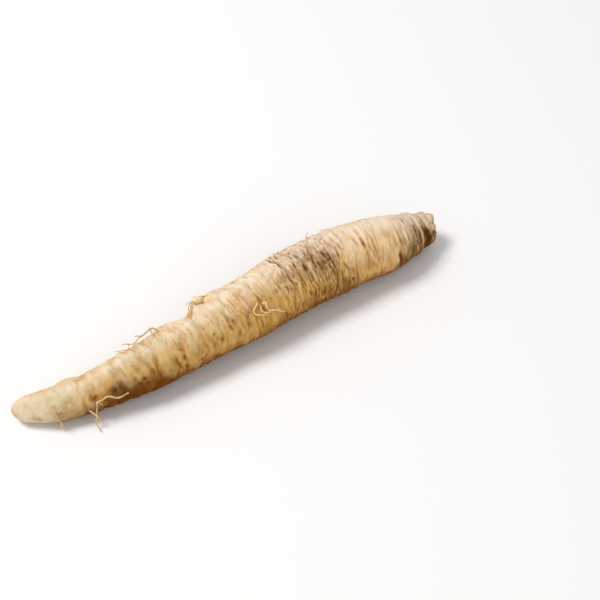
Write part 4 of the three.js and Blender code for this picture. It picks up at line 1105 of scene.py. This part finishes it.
def skin_material():
    k = Nodes("root_skin")
    grain = k.attribute("grain", vector=True)
    round_ = k.scaled(grain, (1.0, 0.28, 0.28))  # drawn out round the root
    broad = k.noise(grain, 0.11, 2.0)
    streak = k.noise(round_, 0.95, 4.0, 0.6, 0.3)
    hair = k.noise(round_, 3.4, 3.0, 0.6)
    grit = k.noise(grain, 1.9, 5.0, 0.65)
    base = k.mix(k.ramp(broad, 0.35, 0.65), colour(231, 210, 180), colour(239, 221, 195))
    base = k.mix(k.ramp(streak, 0.50, 0.72, 0.0, 0.4), base, colour(222, 190, 146))
    base = k.mix(k.ramp(hair, 0.52, 0.72, 0.0, 0.35), base, colour(243, 226, 196))
    mottle = k.noise(k.scaled(grain, (0.9, 0.45, 0.45), (7, 3, 5)), 0.62, 5.0, 0.68, 0.5)
    base = k.mix(k.ramp(mottle, 0.50, 0.70, 0.0, 0.5), base, colour(228, 192, 138), "MULTIPLY")
    base = k.mix(k.ramp(mottle, 0.50, 0.30, 0.0, 0.4), base, colour(250, 236, 212))
    blotch = k.noise(k.scaled(grain, (1.0, 0.5, 0.5), (3, 8, 1)), 0.27, 3.0, 0.6)
    base = k.mix(k.ramp(blotch, 0.50, 0.66, 0.0, 0.55), base, colour(224, 192, 140), "MULTIPLY")
    base = k.mix(k.ramp(blotch, 0.50, 0.34, 0.0, 0.35), base, colour(250, 238, 218))
    # Painted highlight, with rubbed-pale skin, on the crests of the knobs.
    base = k.mix(k.math("MULTIPLY", k.attribute("crest_wear_and_highlight"), 0.45), base, colour(252, 240, 220))
    # Painted shade, with soil colour: the lower side is multiplied browner.
    base = k.mix(k.attribute("tan_and_shade"), base, colour(238, 204, 138), "MULTIPLY")
    # Soil and painted shade in the hollows between the knobs.
    base = k.mix(k.attribute("hollow_soil_and_shade"), base, colour(196, 144, 74), "MULTIPLY")
    # Painted shade, with soil colour: the lowest side is made darker brown.
    base = k.mix(k.attribute("loam_and_shade"), base, colour(150, 110, 38), "MULTIPLY")
    # Painted shade on the thin end and the top of the tip, a little greener.
    base = k.mix(k.attribute("dim_shade"), base, colour(222, 230, 221), "MULTIPLY")
    base = k.mix(k.attribute("rose"), base, colour(232, 211, 197))
    base = k.mix(k.math("MULTIPLY", k.attribute("blush"), 0.8), base, colour(226, 184, 158))
    base = k.mix(k.math("MULTIPLY", k.attribute("fibre"), 0.8), base, colour(226, 188, 128))
    breakup = k.ramp(grit, 0.32, 0.60, 0.6, 1.35)
    base = k.mix(k.math("MULTIPLY", k.attribute("ochre"), k.math("MULTIPLY", breakup, 0.75), True), base, colour(182, 128, 56))
    base = k.mix(k.math("MULTIPLY", k.attribute("plum"), breakup, True), base, colour(125, 90, 63))
    base = k.mix(k.math("MULTIPLY", k.attribute("rust"), breakup, True), base, colour(136, 81, 28))
    base = k.mix(k.math("MULTIPLY", k.attribute("olive"), k.ramp(grit, 0.32, 0.60, 0.85, 1.12), True), base, colour(112, 70, 14))
    base = k.mix(k.math("MULTIPLY", k.attribute("pale"), k.ramp(grit, 0.35, 0.65, 0.3, 0.7)), base, colour(246, 228, 196))
    base = k.mix(k.math("MULTIPLY", k.attribute("umber"), breakup, True), base, colour(94, 50, 9))
    base = k.mix(k.attribute("straw"), base, colour(255, 216, 150))
    specks = k.ramp(k.noise(k.scaled(grain, (1.0, 0.6, 0.6), (4, 9, 2)), 1.35, 1.0), 0.70, 0.78, 0.0, 0.5)
    base = k.mix(specks, base, colour(150, 104, 58))
    # Painted warm bounce light on the lower side.
    base = k.mix(k.attribute("warm_bounce"), base, colour(255, 247, 210), "MULTIPLY")
    k.link(base, k.bsdf.inputs["Base Color"])
    k.link(k.ramp(streak, 0.3, 0.7, 0.68, 0.86), k.bsdf.inputs["Roughness"])
    bump = k.add("ShaderNodeBump")
    bump.inputs["Strength"].default_value = 0.8
    bump.inputs["Distance"].default_value = 0.0003
    height = k.math("ADD", k.math("MULTIPLY", hair, 0.6), k.math("MULTIPLY", grit, 0.5))
    k.link(height, bump.inputs["Height"])
    k.link(bump.outputs["Normal"], k.bsdf.inputs["Normal"])
    b = k.bsdf.inputs
    b["IOR"].default_value = 1.42
    b["Specular IOR Level"].default_value = 0.07
    b["Subsurface Weight"].default_value = 0.06
    b["Subsurface Radius"].default_value = (1.0, 0.55, 0.28)
    b["Subsurface Scale"].default_value = 0.0006
    return k.material


root.data.materials.clear()
root.data.materials.append(skin_material())
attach(root, "root")
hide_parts(NODE)


# --- floor, lights, camera -----------------------------------------------------------------
floor_mesh = bpy.data.meshes.new("floor")
floor_mesh.from_pydata([(-4, -4, 0), (4, -4, 0), (4, 4, 0), (-4, 4, 0)], [], [(0, 1, 2, 3)])
floor = bpy.data.objects.new("floor", floor_mesh)
bpy.context.scene.collection.objects.link(floor)
paper = Nodes("floor_paper")
paper.bsdf.inputs["Base Color"].default_value = (0.86, 0.86, 0.865, 1)
paper.bsdf.inputs["Roughness"].default_value = 0.9
paper.bsdf.inputs["Specular IOR Level"].default_value = 0.1
floor_mesh.materials.append(paper.material)


def area_light(name, toward, distance, size, power, tint=(1, 1, 1)):
    data = bpy.data.lights.new(name, "AREA")
    data.shape = "DISK"
    data.size = size
    data.energy = power
    data.color = tint
    ob = bpy.data.objects.new(name, data)
    bpy.context.scene.collection.objects.link(ob)
    d = Vector(toward).normalized()
    ob.location = Vector((0, 0, 0.01)) + d * distance
    ob.rotation_euler = d.to_track_quat("Z", "Y").to_euler()
    return ob


area_light("key", (-0.42, 0.30, 0.86), 1.4, 0.55, 13.6, (1.0, 0.985, 0.965))
area_light("fill", (0.25, -0.8, 0.55), 1.6, 1.2, 4.0, (1.0, 0.93, 0.84))

world = bpy.data.worlds.new("studio")
bpy.context.scene.world = world
world.use_nodes = True
world.node_tree.nodes["Background"].inputs["Color"].default_value = (1, 1, 1, 1)
world.node_tree.nodes["Background"].inputs["Strength"].default_value = 0.52

camera_data = bpy.data.cameras.new("camera")
camera_data.lens = 85.0
camera_data.sensor_width = 36.0
camera_data.clip_start = 0.01
camera_data.clip_end = 20.0
camera = bpy.data.objects.new("camera", camera_data)
bpy.context.scene.collection.objects.link(camera)
elevation, azimuth = math.radians(48.0), math.radians(30.69998531)
look = Vector((math.sin(azimuth) * math.cos(elevation), math.cos(azimuth) * math.cos(elevation), -math.sin(elevation)))
camera.location = (-0.15110836727, -0.29757445091, 0.38643530925)
camera.rotation_euler = look.to_track_quat("-Z", "Y").to_euler()
bpy.context.scene.camera = camera
bpy.context.scene.view_settings.view_transform = "Standard"
bpy.context.scene.view_settings.look = "None"

bpy.context.view_layer.update()
